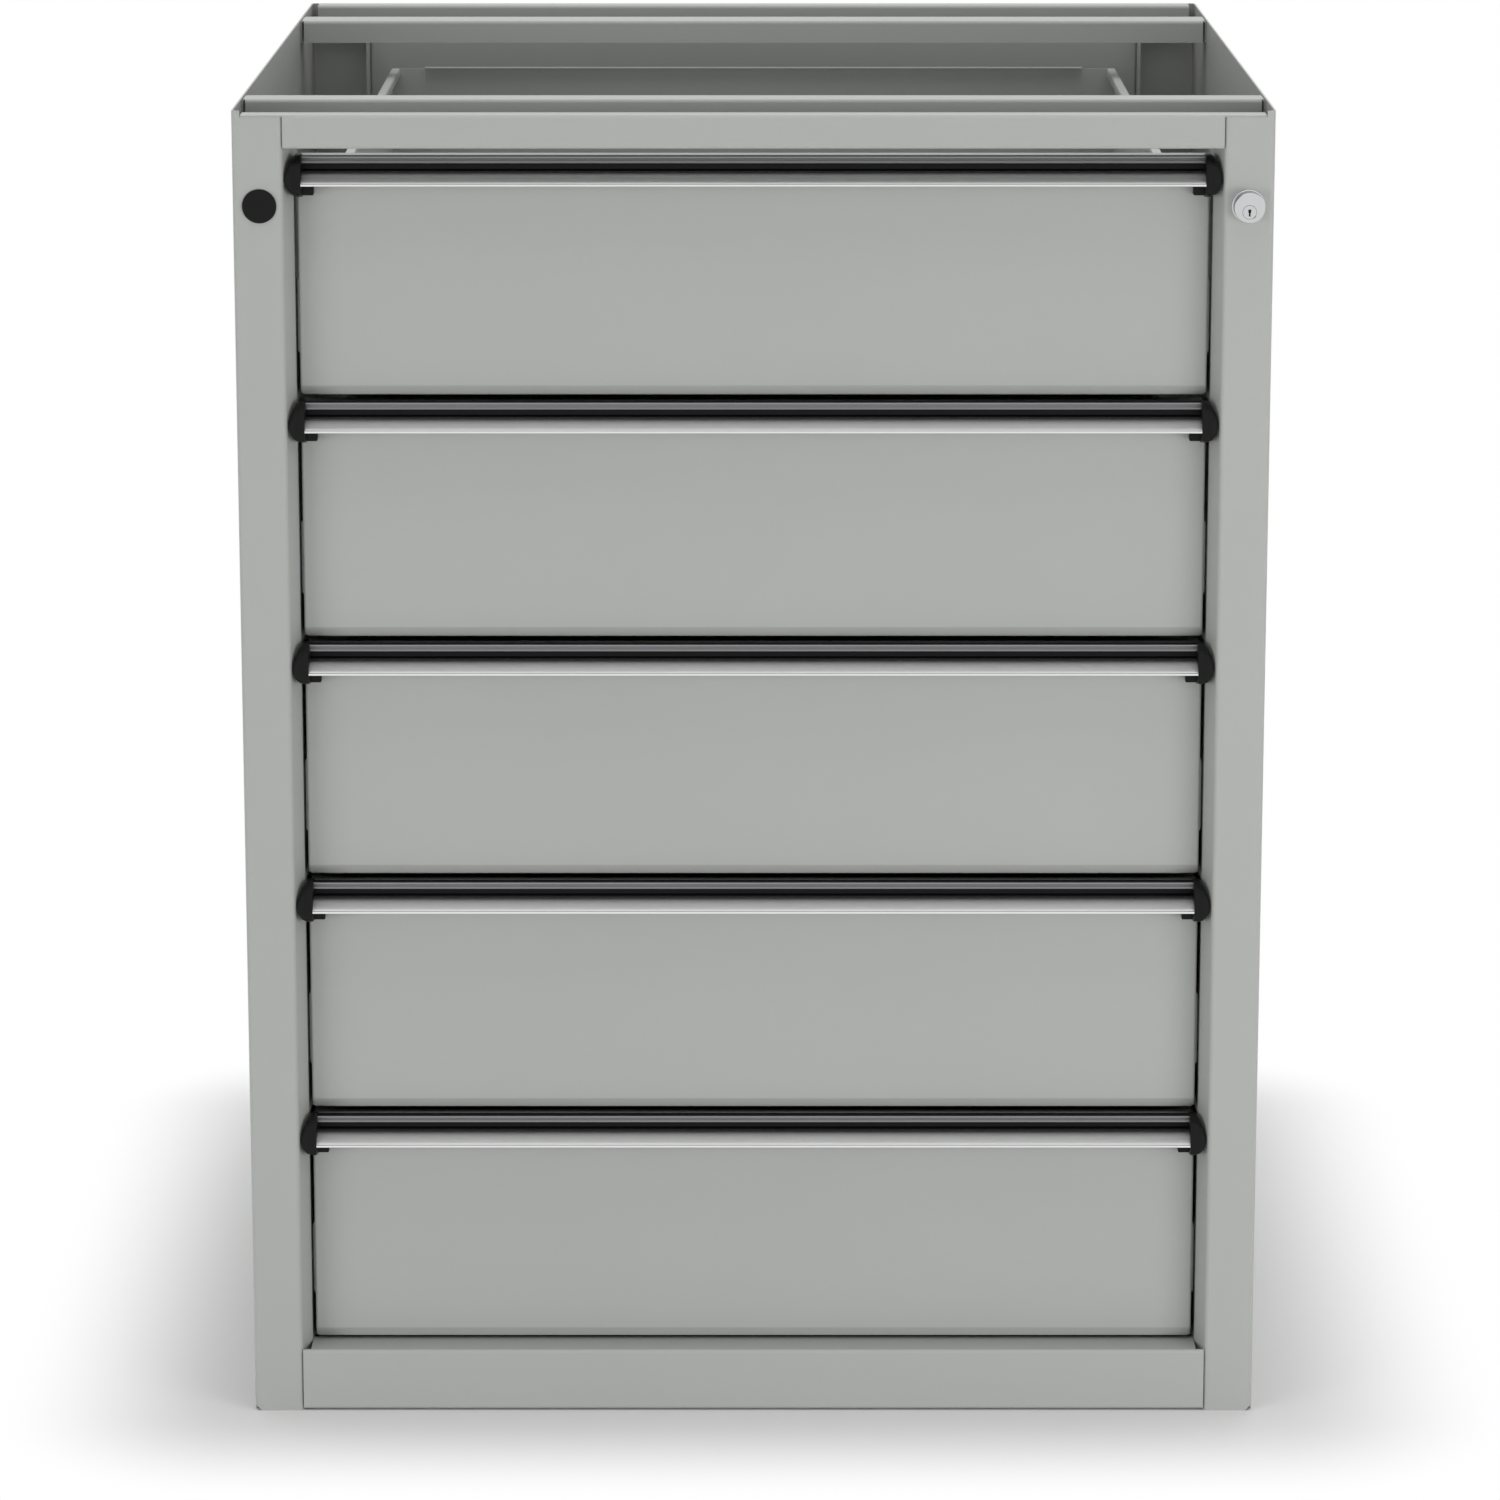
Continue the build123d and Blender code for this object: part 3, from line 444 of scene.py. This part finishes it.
class CABINET_OT_finishes(bpy.types.Operator):
    """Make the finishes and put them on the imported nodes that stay"""

    bl_idname = "cabinet.finishes"
    bl_label = "Finishes"

    def execute(self, context):
        tones = context.scene.cabinet_finishes
        powder_coat("housing_paint", tones.paint)
        powder_coat("drawer_paint", tones.paint)
        drawn_aluminium("grip_aluminium", tones.aluminium)
        # painted shade and reflection: the bead gets a darker copy of the grip's aluminium
        drawn_aluminium("grip_bead_painted_shade", tones.bead)
        moulded_plastic("black_plastic", tones.plastic)
        zinc_plate("runner_steel", tones.zinc, along=1)
        zinc_plate("zinc_steel", tones.zinc, along=2)
        across, height = axis_of("lock_body")
        centre = (across * MM, 0.0, height * MM)
        across, height = axis_of("lock_rotor")
        face = node_box("lock_rotor")[0][1]
        keyway = (across * MM, (face + FRONT_Y) * MM, height * MM)
        turned_chrome("lock_chrome", tones.chrome, centre, keyway)
        for part in frame["record"]["subparts"]:
            node = frame["nodes"][part["node"]]
            for place in node.material_slots:
                place.link = "OBJECT"
                place.material = finish_of(part["material_slot"])
        return {"FINISHED"}


def folded_front(low, high, sizes):
    """Drawer front folded from one sheet, with the corners left open at its bends.

    Rows follow a side profile: bottom flange, slanted lip, upright face, top flange. Columns go
    across the face, and at each side round a bend and back. The depth of a side column is the
    row's own depth plus radius * (1 - cos(angle)), then straight to the back. A cell exists where
    its row or its column belongs to the face, which leaves a slot at each corner.
    """
    bend, fold_radius, flat = sizes.bend / MM, 1.0, 4
    base, top = low[2], high[2]
    front, back = low[1], high[1]
    fold, slant = base + sizes.lip_height / MM, front + sizes.lip_slant / MM
    lower = rounded([
        (back, base, 0), (slant, base, bend), (front, fold, fold_radius), (front, fold + flat, 0),
    ], closed=False)
    upper = rounded([(front, top - flat, 0), (front, top, bend), (back, top, 0)], closed=False)
    between = np.linspace(fold + flat, top - flat, 11)[1:-1]
    side_rows = np.concatenate([lower, np.stack([np.full_like(between, front), between], 1), upper])
    rows, heights = side_rows[:, :1], side_rows[:, 1:]
    half = high[0]
    angles = np.linspace(0, pi / 2, ARC_STEPS + 1)[1:]
    face_x = np.linspace(bend - half, half - bend, 25)
    turn_x = np.append(half - bend + bend * np.sin(angles), half)
    side = np.concatenate([rows + bend * (1 - np.cos(angles)), np.full_like(rows, back)], 1)
    across = np.concatenate([-turn_x[::-1], face_x, turn_x])
    depth = np.concatenate([side[:, ::-1], np.repeat(rows, len(face_x), 1), side], 1)
    points = np.stack(np.broadcast_arrays(across, depth, heights), -1)
    cells = grid_cells(*depth.shape)
    i, j = np.indices(cells.shape[:2])
    on_face = (j >= len(turn_x)) & (j < len(turn_x) + len(face_x) - 1)
    on_rows = (i >= ARC_STEPS + 1) & (i < len(rows) - ARC_STEPS - 2)
    faces = cells[on_face | on_rows]
    used = np.unique(faces)
    renumber = np.full(depth.size, -1)
    renumber[used] = np.arange(len(used))
    return points.reshape(-1, 3)[used], renumber[faces].tolist()


class CABINET_OT_drawer_fronts(bpy.types.Operator):
    """Fold the painted drawer fronts"""

    bl_idname = "cabinet.drawer_fronts"
    bl_label = "Drawer fronts"

    def execute(self, context):
        sizes = context.scene.cabinet_sizes
        for number in DRAWERS:
            node = f"drawer_{number}_front"
            solid = folded_front(*node_box(node), sizes)
            made = piece(f"{node}_pan", solid, f"drawer_{number}", node, "drawer_paint")
            wall = made.modifiers.new("sheet", "SOLIDIFY")
            wall.thickness = sizes.sheet
            wall.offset = -1
            wall.use_even_offset = True
        return {"FINISHED"}


def bead_profile():
    """Bead at the crest as (forward, above): a rounded top, a face that rolls under, and a small foot."""
    return rounded([
        (6.7, 0.0, 0.15), (8.1, 0.0, 0.4), (7.7, -0.9, 1.0), (5.6, -3.3, 0.25),
        (6.1, -3.9, 0.3), (5.5, -4.5, 0.3), (4.3, -4.5, 0.15),
    ])


def ledge_profile():
    """Scooped ledge as (forward, above): a top that starts level and rounds over, a fine groove
    before the lip, a rounded nose, and the underside back to the leg on the carrier."""
    top = arc_through((4.2, -9.0), (12.1, -10.75), (18.4, -14.4), 24)
    groove = np.array([(18.5, -14.6), (18.6, -14.9), (18.8, -14.9), (18.9, -14.6)])
    nose = rounded([
        (19.0, -14.55, 0), (20.0, -15.0, 0.45), (20.0, -16.3, 0.4), (18.2, -15.9, 0),
    ], closed=False)
    under = arc_through((19.5, -16.4), (13.3, -13.0), (7.0, -10.9), 16)
    under = under[under[:, 0] < 18.1]
    leg = rounded([
        (7.0, -10.9, 0), (5.6, -12.3, 0.8), (5.6, -18.0, 0.3), (4.2, -18.0, 0.2), (4.2, -9.1, 0),
    ], closed=False)
    return np.concatenate([top, groove, nose, under[:-1], leg])


def carrier_profile():
    """Plastic carrier behind the metal as (forward, above): a level top, a front that slants back
    under the bead, a deep groove, and a flat foot behind the ledge's leg."""
    return rounded([
        (0.05, 0.0, 0.3), (6.65, 0.0, 0.1), (4.25, -4.4, 0.2), (1.2, -5.0, 0.5), (1.2, -8.3, 0.5),
        (4.15, -8.9, 0.2), (4.15, -18.0, 0.3), (0.05, -18.0, 0.3),
    ])


def side_rings(across, outlines, front, crest):
    """Rings from (forward, above) outlines, and how far across each one, or each of its points, lies.

    A point lies at the depth front - forward and the height crest + above.
    """
    rings = np.empty((len(outlines), len(outlines[0]), 3))
    for ring, x, outline in zip(rings, across, outlines):
        ring[:, 0] = x
        ring[:, 1] = front - outline[:, 0]
        ring[:, 2] = crest + outline[:, 1]
    return rings


def along_the_grip(profile, node, front, crest):
    """A (forward, above) profile carried from end to end of a node's box."""
    low, high = node_box(node)
    stations = np.linspace(low[0], high[0], 9)
    return loft(side_rings(stations, [profile] * len(stations), front, crest))


class CABINET_OT_grips(bpy.types.Operator):
    """Draw the aluminium grip of each drawer and the plastic carrier behind it"""

    bl_idname = "cabinet.grips"
    bl_label = "Grips"

    def execute(self, context):
        for number in DRAWERS:
            body = f"drawer_{number}"
            grip, carrier = f"{body}_grip", f"{body}_grip_carrier"
            crest = node_box(grip)[1][2]
            front = node_box(f"{body}_front")[0][1]
            ledge = along_the_grip(ledge_profile(), grip, front, crest)
            bead = along_the_grip(bead_profile(), grip, front, crest)
            strip = along_the_grip(carrier_profile(), carrier, front, crest)
            piece(f"{grip}_ledge", ledge, body, grip, "grip_aluminium", sharp=50.0)
            # the bead wears the darker copy of the aluminium, a painted shade and painted reflection
            piece(f"{grip}_bead", bead, body, grip, "grip_aluminium", finish="grip_bead_painted_shade", sharp=50.0)
            piece(f"{carrier}_strip", strip, body, carrier, "black_plastic")
        return {"FINISHED"}


def cap_outline():
    """Side view of an end cap as (forward, above): shoulder, short nose, chin and heel."""
    shoulder = arc_through((8.6, 0.8), (16.8, -3.2), (20.3, -10.5), 16)
    chin = arc_through((20.3, -16.6), (18.6, -20.4), (14.0, -22.2), 10)
    foot = rounded([
        (14.0, -22.2, 0), (5.5, -24.0, 3.0), (0.0, -24.0, 0.5), (0.0, 0.8, 0.5), (8.6, 0.8, 0),
    ], closed=False)
    return np.concatenate([shoulder, chin[:-1], foot[:-1]])


def inset_outline(outline, amount):
    """Outline moved inwards along the average normal of each point's two sides."""
    ahead = np.roll(outline, -1, 0) - outline
    back = outline - np.roll(outline, 1, 0)
    along = ahead / np.hypot(*ahead.T)[:, None] + back / np.hypot(*back.T)[:, None]
    along /= np.hypot(*along.T)[:, None]
    return outline + np.stack([along[:, 1], -along[:, 0]], 1) * amount


def end_cap(crest, front, inner, plate):
    """Right end cap: a plate with softened edges, then a dome towards the post.

    A dome ring at share f is the outline drawn towards the apex by f, and bulges by
    reach(forward) * sqrt(1 - f to the power 2.4), where reach grows from heel to nose.
    """
    outline = cap_outline()
    softened = (
        (0.0, 0.5), (0.15, 0.15), (0.5, 0.0), (plate - 0.35, 0.0), (plate - 0.1, 0.08), (plate, 0.3),
    )
    across = [inner + x for x, inset in softened]
    outlines = [inset_outline(outline, inset) for x, inset in softened]
    edge = outlines[-1]
    apex = np.array([17.2, -11.6])
    forward, reach = (0.0, 6.0, 14.0, 17.5, 20.3), (0.8, 2.2, 4.5, 5.35, 5.8)
    for share in np.cos(np.linspace(0, pi / 2, 16))[1:-1]:
        drawn_in = apex + (edge - apex) * share
        bulge = np.interp(drawn_in[:, 0], forward, reach) * np.sqrt(1 - share ** 2.4)
        across.append(inner + plate + bulge)
        outlines.append(drawn_in)
    return loft(side_rings(across, outlines, front, crest))


def cap_tab(crest, front, inner, plate):
    """Foot of the cap under the ledge's end: an angle section with rounded corners, smaller at its end."""
    section = rounded([
        (0.0, -23.0, 0.4), (7.2, -23.0, 0.9), (7.2, -12.8, 0.5),
        (5.8, -12.8, 0.5), (5.8, -18.0, 0.3), (0.0, -18.0, 0.3),
    ])
    middle = section.mean(0)
    across = (inner - 6.5, inner - 6.3, inner - 5.9, inner + plate / 2)
    outlines = [middle + (section - middle) * share for share in (0.9, 0.97, 1.0, 1.0)]
    return loft(side_rings(across, outlines, front, crest))


class CABINET_OT_end_caps(bpy.types.Operator):
    """Mould the black end caps of the grips"""

    bl_idname = "cabinet.end_caps"
    bl_label = "End caps"

    def execute(self, context):
        plate = context.scene.cabinet_sizes.cap_plate / MM
        for number in DRAWERS:
            node = f"drawer_{number}_grip_caps"
            inner, _, crest = node_box(f"drawer_{number}_grip")[1]
            front = node_box(f"drawer_{number}_front")[0][1]
            right = joined(end_cap(crest, front, inner, plate), cap_tab(crest, front, inner, plate))
            pair = joined(right, mirrored(*right))
            piece(f"{node}_moulded", pair, f"drawer_{number}", node, "black_plastic", sharp=40.0)
        return {"FINISHED"}


def ring_about(axis, radius, depth):
    """Ring of points (across, depth, height) about an axis, with one radius or one for each angle."""
    angles = np.linspace(0, 2 * pi, ROUND_STEPS, endpoint=False)
    ring = np.empty((ROUND_STEPS, 3))
    ring[:, 0] = axis[0] + radius * np.cos(angles)
    ring[:, 1] = depth
    ring[:, 2] = axis[1] + radius * np.sin(angles)
    return ring


def turned(axis, outline):
    """Rings about an axis from rows of (radius, depth)."""
    return [ring_about(axis, radius, depth) for radius, depth in outline]


def quarter(radius_from, depth_from, radius_to, depth_to):
    """Quarter ellipse between two (radius, depth) ends, from along the face to along the side."""
    angles = np.linspace(0, pi / 2, ARC_STEPS + 1)
    radius = radius_from + (radius_to - radius_from) * np.sin(angles)
    depth = depth_from + (depth_to - depth_from) * (1 - np.cos(angles))
    return zip(radius, depth)


def lock_barrel(body, rotor):
    """Lock body as one surface: bore, face, rounded rim, barrel, base ring, shank, back to the bore."""
    bore, mouth, barrel, base_ring, shank = 4.05, 4.3, 9.0, 9.75, 8.8
    rim, ring_front, ring_back = 1.0, -1.5, -0.02
    low, high = node_box(body)
    face, back = low[1], high[1]
    axis, bore_axis = axis_of(body), axis_of(rotor)
    inner, outer = ring_about(bore_axis, mouth, face), ring_about(axis, barrel - rim, face)
    rings = turned(bore_axis, [(bore, back), (bore, face + 0.25), (mouth, face)])
    rings += [inner + (outer - inner) * share for share in (0.25, 0.5, 0.75)]
    rings += turned(axis, [
        *quarter(barrel - rim, face, barrel, face + rim),
        (barrel, -1.9), (barrel + 0.12, -1.6), (barrel + 0.4, ring_front),
        *quarter(base_ring - 0.3, ring_front, base_ring, -1.2),
        (base_ring, ring_back), (shank, ring_back), (shank, back),
    ])
    return loft(rings, wrap=True)


def keyhole(axis, depth):
    """Keyway outline: for each angle the farther edge of two boxes that share the axis."""
    angles = np.linspace(0, 2 * pi, ROUND_STEPS, endpoint=False)
    c, s = np.cos(angles), np.sin(angles)
    radius = np.zeros(ROUND_STEPS)
    for half_width, above, below in ((0.85, 1.7, 0.25), (0.5, 0.25, 2.4)):
        upright = np.where(s >= 0, above, below) / np.maximum(np.abs(s), 1e-9)
        level = half_width / np.maximum(np.abs(c), 1e-9)
        radius = np.maximum(radius, np.minimum(upright, level))
    return ring_about(axis, radius, depth)


def lock_plug(rotor, keyway, tail):
    """Rotor: keyway floor and walls, face, rounded edge, side, and the thinner tail for the cam."""
    low, high = node_box(rotor)
    axis, face, back = axis_of(rotor), low[1], high[1]
    radius, edge, tail_step = (high[0] - low[0]) / 2, 0.25, 1
    mouth, rim = keyhole(axis, face), ring_about(axis, radius - edge, face)
    rings = [keyhole(axis, face + keyway), mouth]
    rings += [mouth + (rim - mouth) * share for share in (0.06, 0.4, 0.75)]
    rings += turned(axis, [
        *quarter(radius - edge, face, radius, face + edge),
        (radius, tail), (radius - tail_step, tail), (radius - tail_step, back),
    ])
    return loft(rings)


class CABINET_OT_lock(bpy.types.Operator):
    """Turn the lock body and its rotor"""

    bl_idname = "cabinet.lock"
    bl_label = "Lock"

    def execute(self, context):
        keyway = context.scene.cabinet_sizes.keyway / MM
        tail = node_box("lock_body")[1][1]
        barrel = lock_barrel("lock_body", "lock_rotor")
        cylinder = lock_plug("lock_rotor", keyway, tail)
        piece("lock_barrel", barrel, "cabinet", "lock_body", "lock_chrome")
        piece("lock_cylinder", cylinder, "lock_rotor", "lock_rotor", "lock_chrome")
        return {"FINISHED"}


def plug_button(node):
    """Blanking plug: a shallow dome, a rounded rim and a shank, turned about its axis.

    The dome falls back from its middle by 0.35 * (r / radius) squared.
    """
    low, high = node_box(node)
    radius, proud, back = (high[0] - low[0]) / 2, low[1], high[1]
    shank, shank_bevel, middle, seat = 8.75, 0.6, 0.4, -0.01
    crown = [(r, proud + 0.35 * (r / radius) ** 2) for r in (middle, 2.0, 4.0, 6.0, 8.0)]
    crown_radius, crown_depth = crown[-1]
    return loft(turned(axis_of(node), [
        *crown, *quarter(crown_radius + 1.0, crown_depth + 0.06, radius, -0.1),
        (radius - 0.1, seat), (shank, seat),
        (shank, back - 1.0), (shank - shank_bevel, back), (middle, back),
    ]))


class CABINET_OT_plug(bpy.types.Operator):
    """Mould the blanking plug in the left post"""

    bl_idname = "cabinet.plug"
    bl_label = "Blanking plug"

    def execute(self, context):
        piece("plug_button", plug_button("blanking_plug"), "cabinet", "blanking_plug", "black_plastic")
        return {"FINISHED"}


# Stage

def seen(tree):
    """1 where a camera, glossy or transmission ray looks, so that metal shows the same backdrop."""
    path = {name: tree.node("ShaderNodeLightPath", output=name) for name in (
        "Is Camera Ray", "Is Glossy Ray", "Is Transmission Ray")}
    return path["Is Camera Ray"].larger(path["Is Glossy Ray"]).larger(path["Is Transmission Ray"])


def floor_finish(half_width, half_depth, middle):
    """Pale floor that keeps the cabinet's soft shadow and turns to plain white away from it.

    The share of white grows with the distance to the cabinet's footprint, a rectangle whose middle
    lies at that depth.
    """
    pale, white_at = (0.84, 0.84, 0.84, 1), 0.16
    material = bpy.data.materials.new("pale_floor")
    material.use_nodes = True
    material.node_tree.nodes.clear()
    tree = Tree(material.node_tree)
    place = tree.node("ShaderNodeTexCoord", output=3)
    offset = tree.vector("ABSOLUTE", tree.vector("SUBTRACT", place, (0, middle, 0)))
    beyond = tree.vector("SUBTRACT", offset, (half_width, half_depth, 0))
    distance = tree.vector("LENGTH", tree.vector("MAXIMUM", beyond, (0, 0, 0)), output=1)
    white = distance.ramp(0.0, white_at) * seen(tree)
    matt = tree.node("ShaderNodeBsdfDiffuse", {}, {"Color": pale})
    glow = tree.node("ShaderNodeEmission", {}, {"Strength": 1.0})
    mixed = tree.node("ShaderNodeMixShader", {}, {0: white, 1: matt, 2: glow})
    tree.node("ShaderNodeOutputMaterial", {}, {"Surface": mixed})
    return material


def lay_floor(scene):
    """A level grid under the cabinet, which reaches equally far on all sides."""
    low, high = CAD_BOX
    front, back = FRONT_Y * MM, high[1]
    reach, rows = 14.0, 9
    steps = np.linspace(-reach, reach, rows)
    y, x = np.meshgrid(steps, steps, indexing="ij")
    points = np.stack([x, y, np.full_like(x, low[2])], -1).reshape(-1, 3)
    mesh = bpy.data.meshes.new("floor")
    mesh.from_pydata(points.tolist(), [], grid_cells(rows, rows).reshape(-1, 4).tolist())
    mesh.materials.append(floor_finish(high[0], (back - front) / 2, (back + front) / 2))
    floor = bpy.data.objects.new("floor", mesh)
    scene.collection.objects.link(floor)


def light_world(scene):
    """Even light from all round, which is white where it is seen or mirrored.

    One patch of it, high on the left, is dark, and the chrome mirrors that.
    """
    ambient = 0.42
    patch, patch_edge, patch_core, patch_shade = (-0.75, -0.12, 0.65), 0.93, 0.97, 0.9
    world = bpy.data.worlds.new("studio")
    world.use_nodes = True
    world.node_tree.nodes.clear()
    scene.world = world
    tree = Tree(world.node_tree)
    towards = tree.vector("DOT_PRODUCT", tree.node("ShaderNodeTexCoord", output=0), patch, output=1)
    backdrop = 1 - towards.ramp(patch_edge, patch_core) * patch_shade
    strength = ambient + seen(tree) * (backdrop - ambient)
    sky = tree.node("ShaderNodeBackground", {}, {"Color": (1, 1, 1, 1), "Strength": strength})
    tree.node("ShaderNodeOutputWorld", {}, {"Surface": sky})


def aim_angles(direction):
    """Euler angles that turn an object's -Z axis to a direction. Straight down needs no turn."""
    x, y, z = direction / np.linalg.norm(direction)
    return (np.arccos(-z), 0.0, np.arctan2(x, -y) + pi) if abs(z) < 1 else (0.0, 0.0, 0.0)


def lamp(scene, name, place, target, size, watts):
    """A soft lamp aimed at a point, whose own shape is mirrored in no surface."""
    light = bpy.data.lights.new(name, "AREA")
    light.shape = "RECTANGLE"
    light.size, light.size_y = size
    light.energy = watts
    made = bpy.data.objects.new(name, light)
    made.location = place
    made.rotation_euler = aim_angles(np.subtract(target, place))
    made.visible_camera = False
    made.visible_glossy = False
    scene.collection.objects.link(made)


def set_camera(scene):
    """Camera straight in front of the cabinet and above its top, tilted down to it."""
    tilt = 12.6
    camera = bpy.data.cameras.new("camera")
    camera.lens = scene.cabinet_sizes.camera_lens
    camera.sensor_width = 36.0
    camera.shift_x = -0.0023
    camera.clip_end = 100.0
    view = bpy.data.objects.new("camera", camera)
    view.location = (0.0, -3.76, 1.18)
    view.rotation_euler = (radians(90 - tilt), 0.0, 0.0)
    scene.collection.objects.link(view)
    scene.camera = view


class CABINET_OT_stage(bpy.types.Operator):
    """Lay the floor and set the light and the camera"""

    bl_idname = "cabinet.stage"
    bl_label = "Stage"

    def execute(self, context):
        scene = context.scene
        lay_floor(scene)
        light_world(scene)
        lamp(scene, "top_softbox", (0, -0.2, 3.2), (0, -0.2, 0), (3.2, 3.2), 41.0)
        lamp(scene, "right_softbox", (1.7, -2.0, 0.4), (0, -0.3, 0.3), (1.2, 1.0), 19.0)
        lamp(scene, "left_softbox", (-2.7, -2.7, 0.4), (0, -0.3, 0.3), (1.6, 1.3), 35.5)
        lamp(scene, "rear_softbox", (0.6, 3.4, 1.2), (0, 0.3, 0.4), (2.4, 1.6), 30.0)
        set_camera(scene)
        scene.view_settings.view_transform = "Standard"
        return {"FINISHED"}


OPERATORS = (
    CABINET_OT_finishes,
    CABINET_OT_drawer_fronts,
    CABINET_OT_grips,
    CABINET_OT_end_caps,
    CABINET_OT_lock,
    CABINET_OT_plug,
    CABINET_OT_stage,
)


class CABINET_PT_panel(bpy.types.Panel):
    """Sidebar panel that lists the cabinet's steps and sizes"""

    bl_idname = "CABINET_PT_panel"
    bl_label = "Drawer cabinet"
    bl_space_type = "VIEW_3D"
    bl_region_type = "UI"
    bl_category = "Cabinet"

    def draw(self, context):
        for group in (context.scene.cabinet_finishes, context.scene.cabinet_sizes):
            for name in group.__annotations__:
                self.layout.prop(group, name)
        for operator in OPERATORS:
            self.layout.operator(operator.bl_idname)


CLASSES = (CabinetFinishes, CabinetSizes, *OPERATORS, CABINET_PT_panel)


def register():
    for cls in CLASSES:
        bpy.utils.register_class(cls)
    bpy.types.Scene.cabinet_finishes = bpy.props.PointerProperty(type=CabinetFinishes)
    bpy.types.Scene.cabinet_sizes = bpy.props.PointerProperty(type=CabinetSizes)


def unregister():
    del bpy.types.Scene.cabinet_sizes
    del bpy.types.Scene.cabinet_finishes
    for cls in reversed(CLASSES):
        bpy.utils.unregister_class(cls)


def main():
    register()
    for operator in OPERATORS:
        group, name = operator.bl_idname.split(".")
        getattr(getattr(bpy.ops, group), name)()


if __name__ == "__main__":
    main()
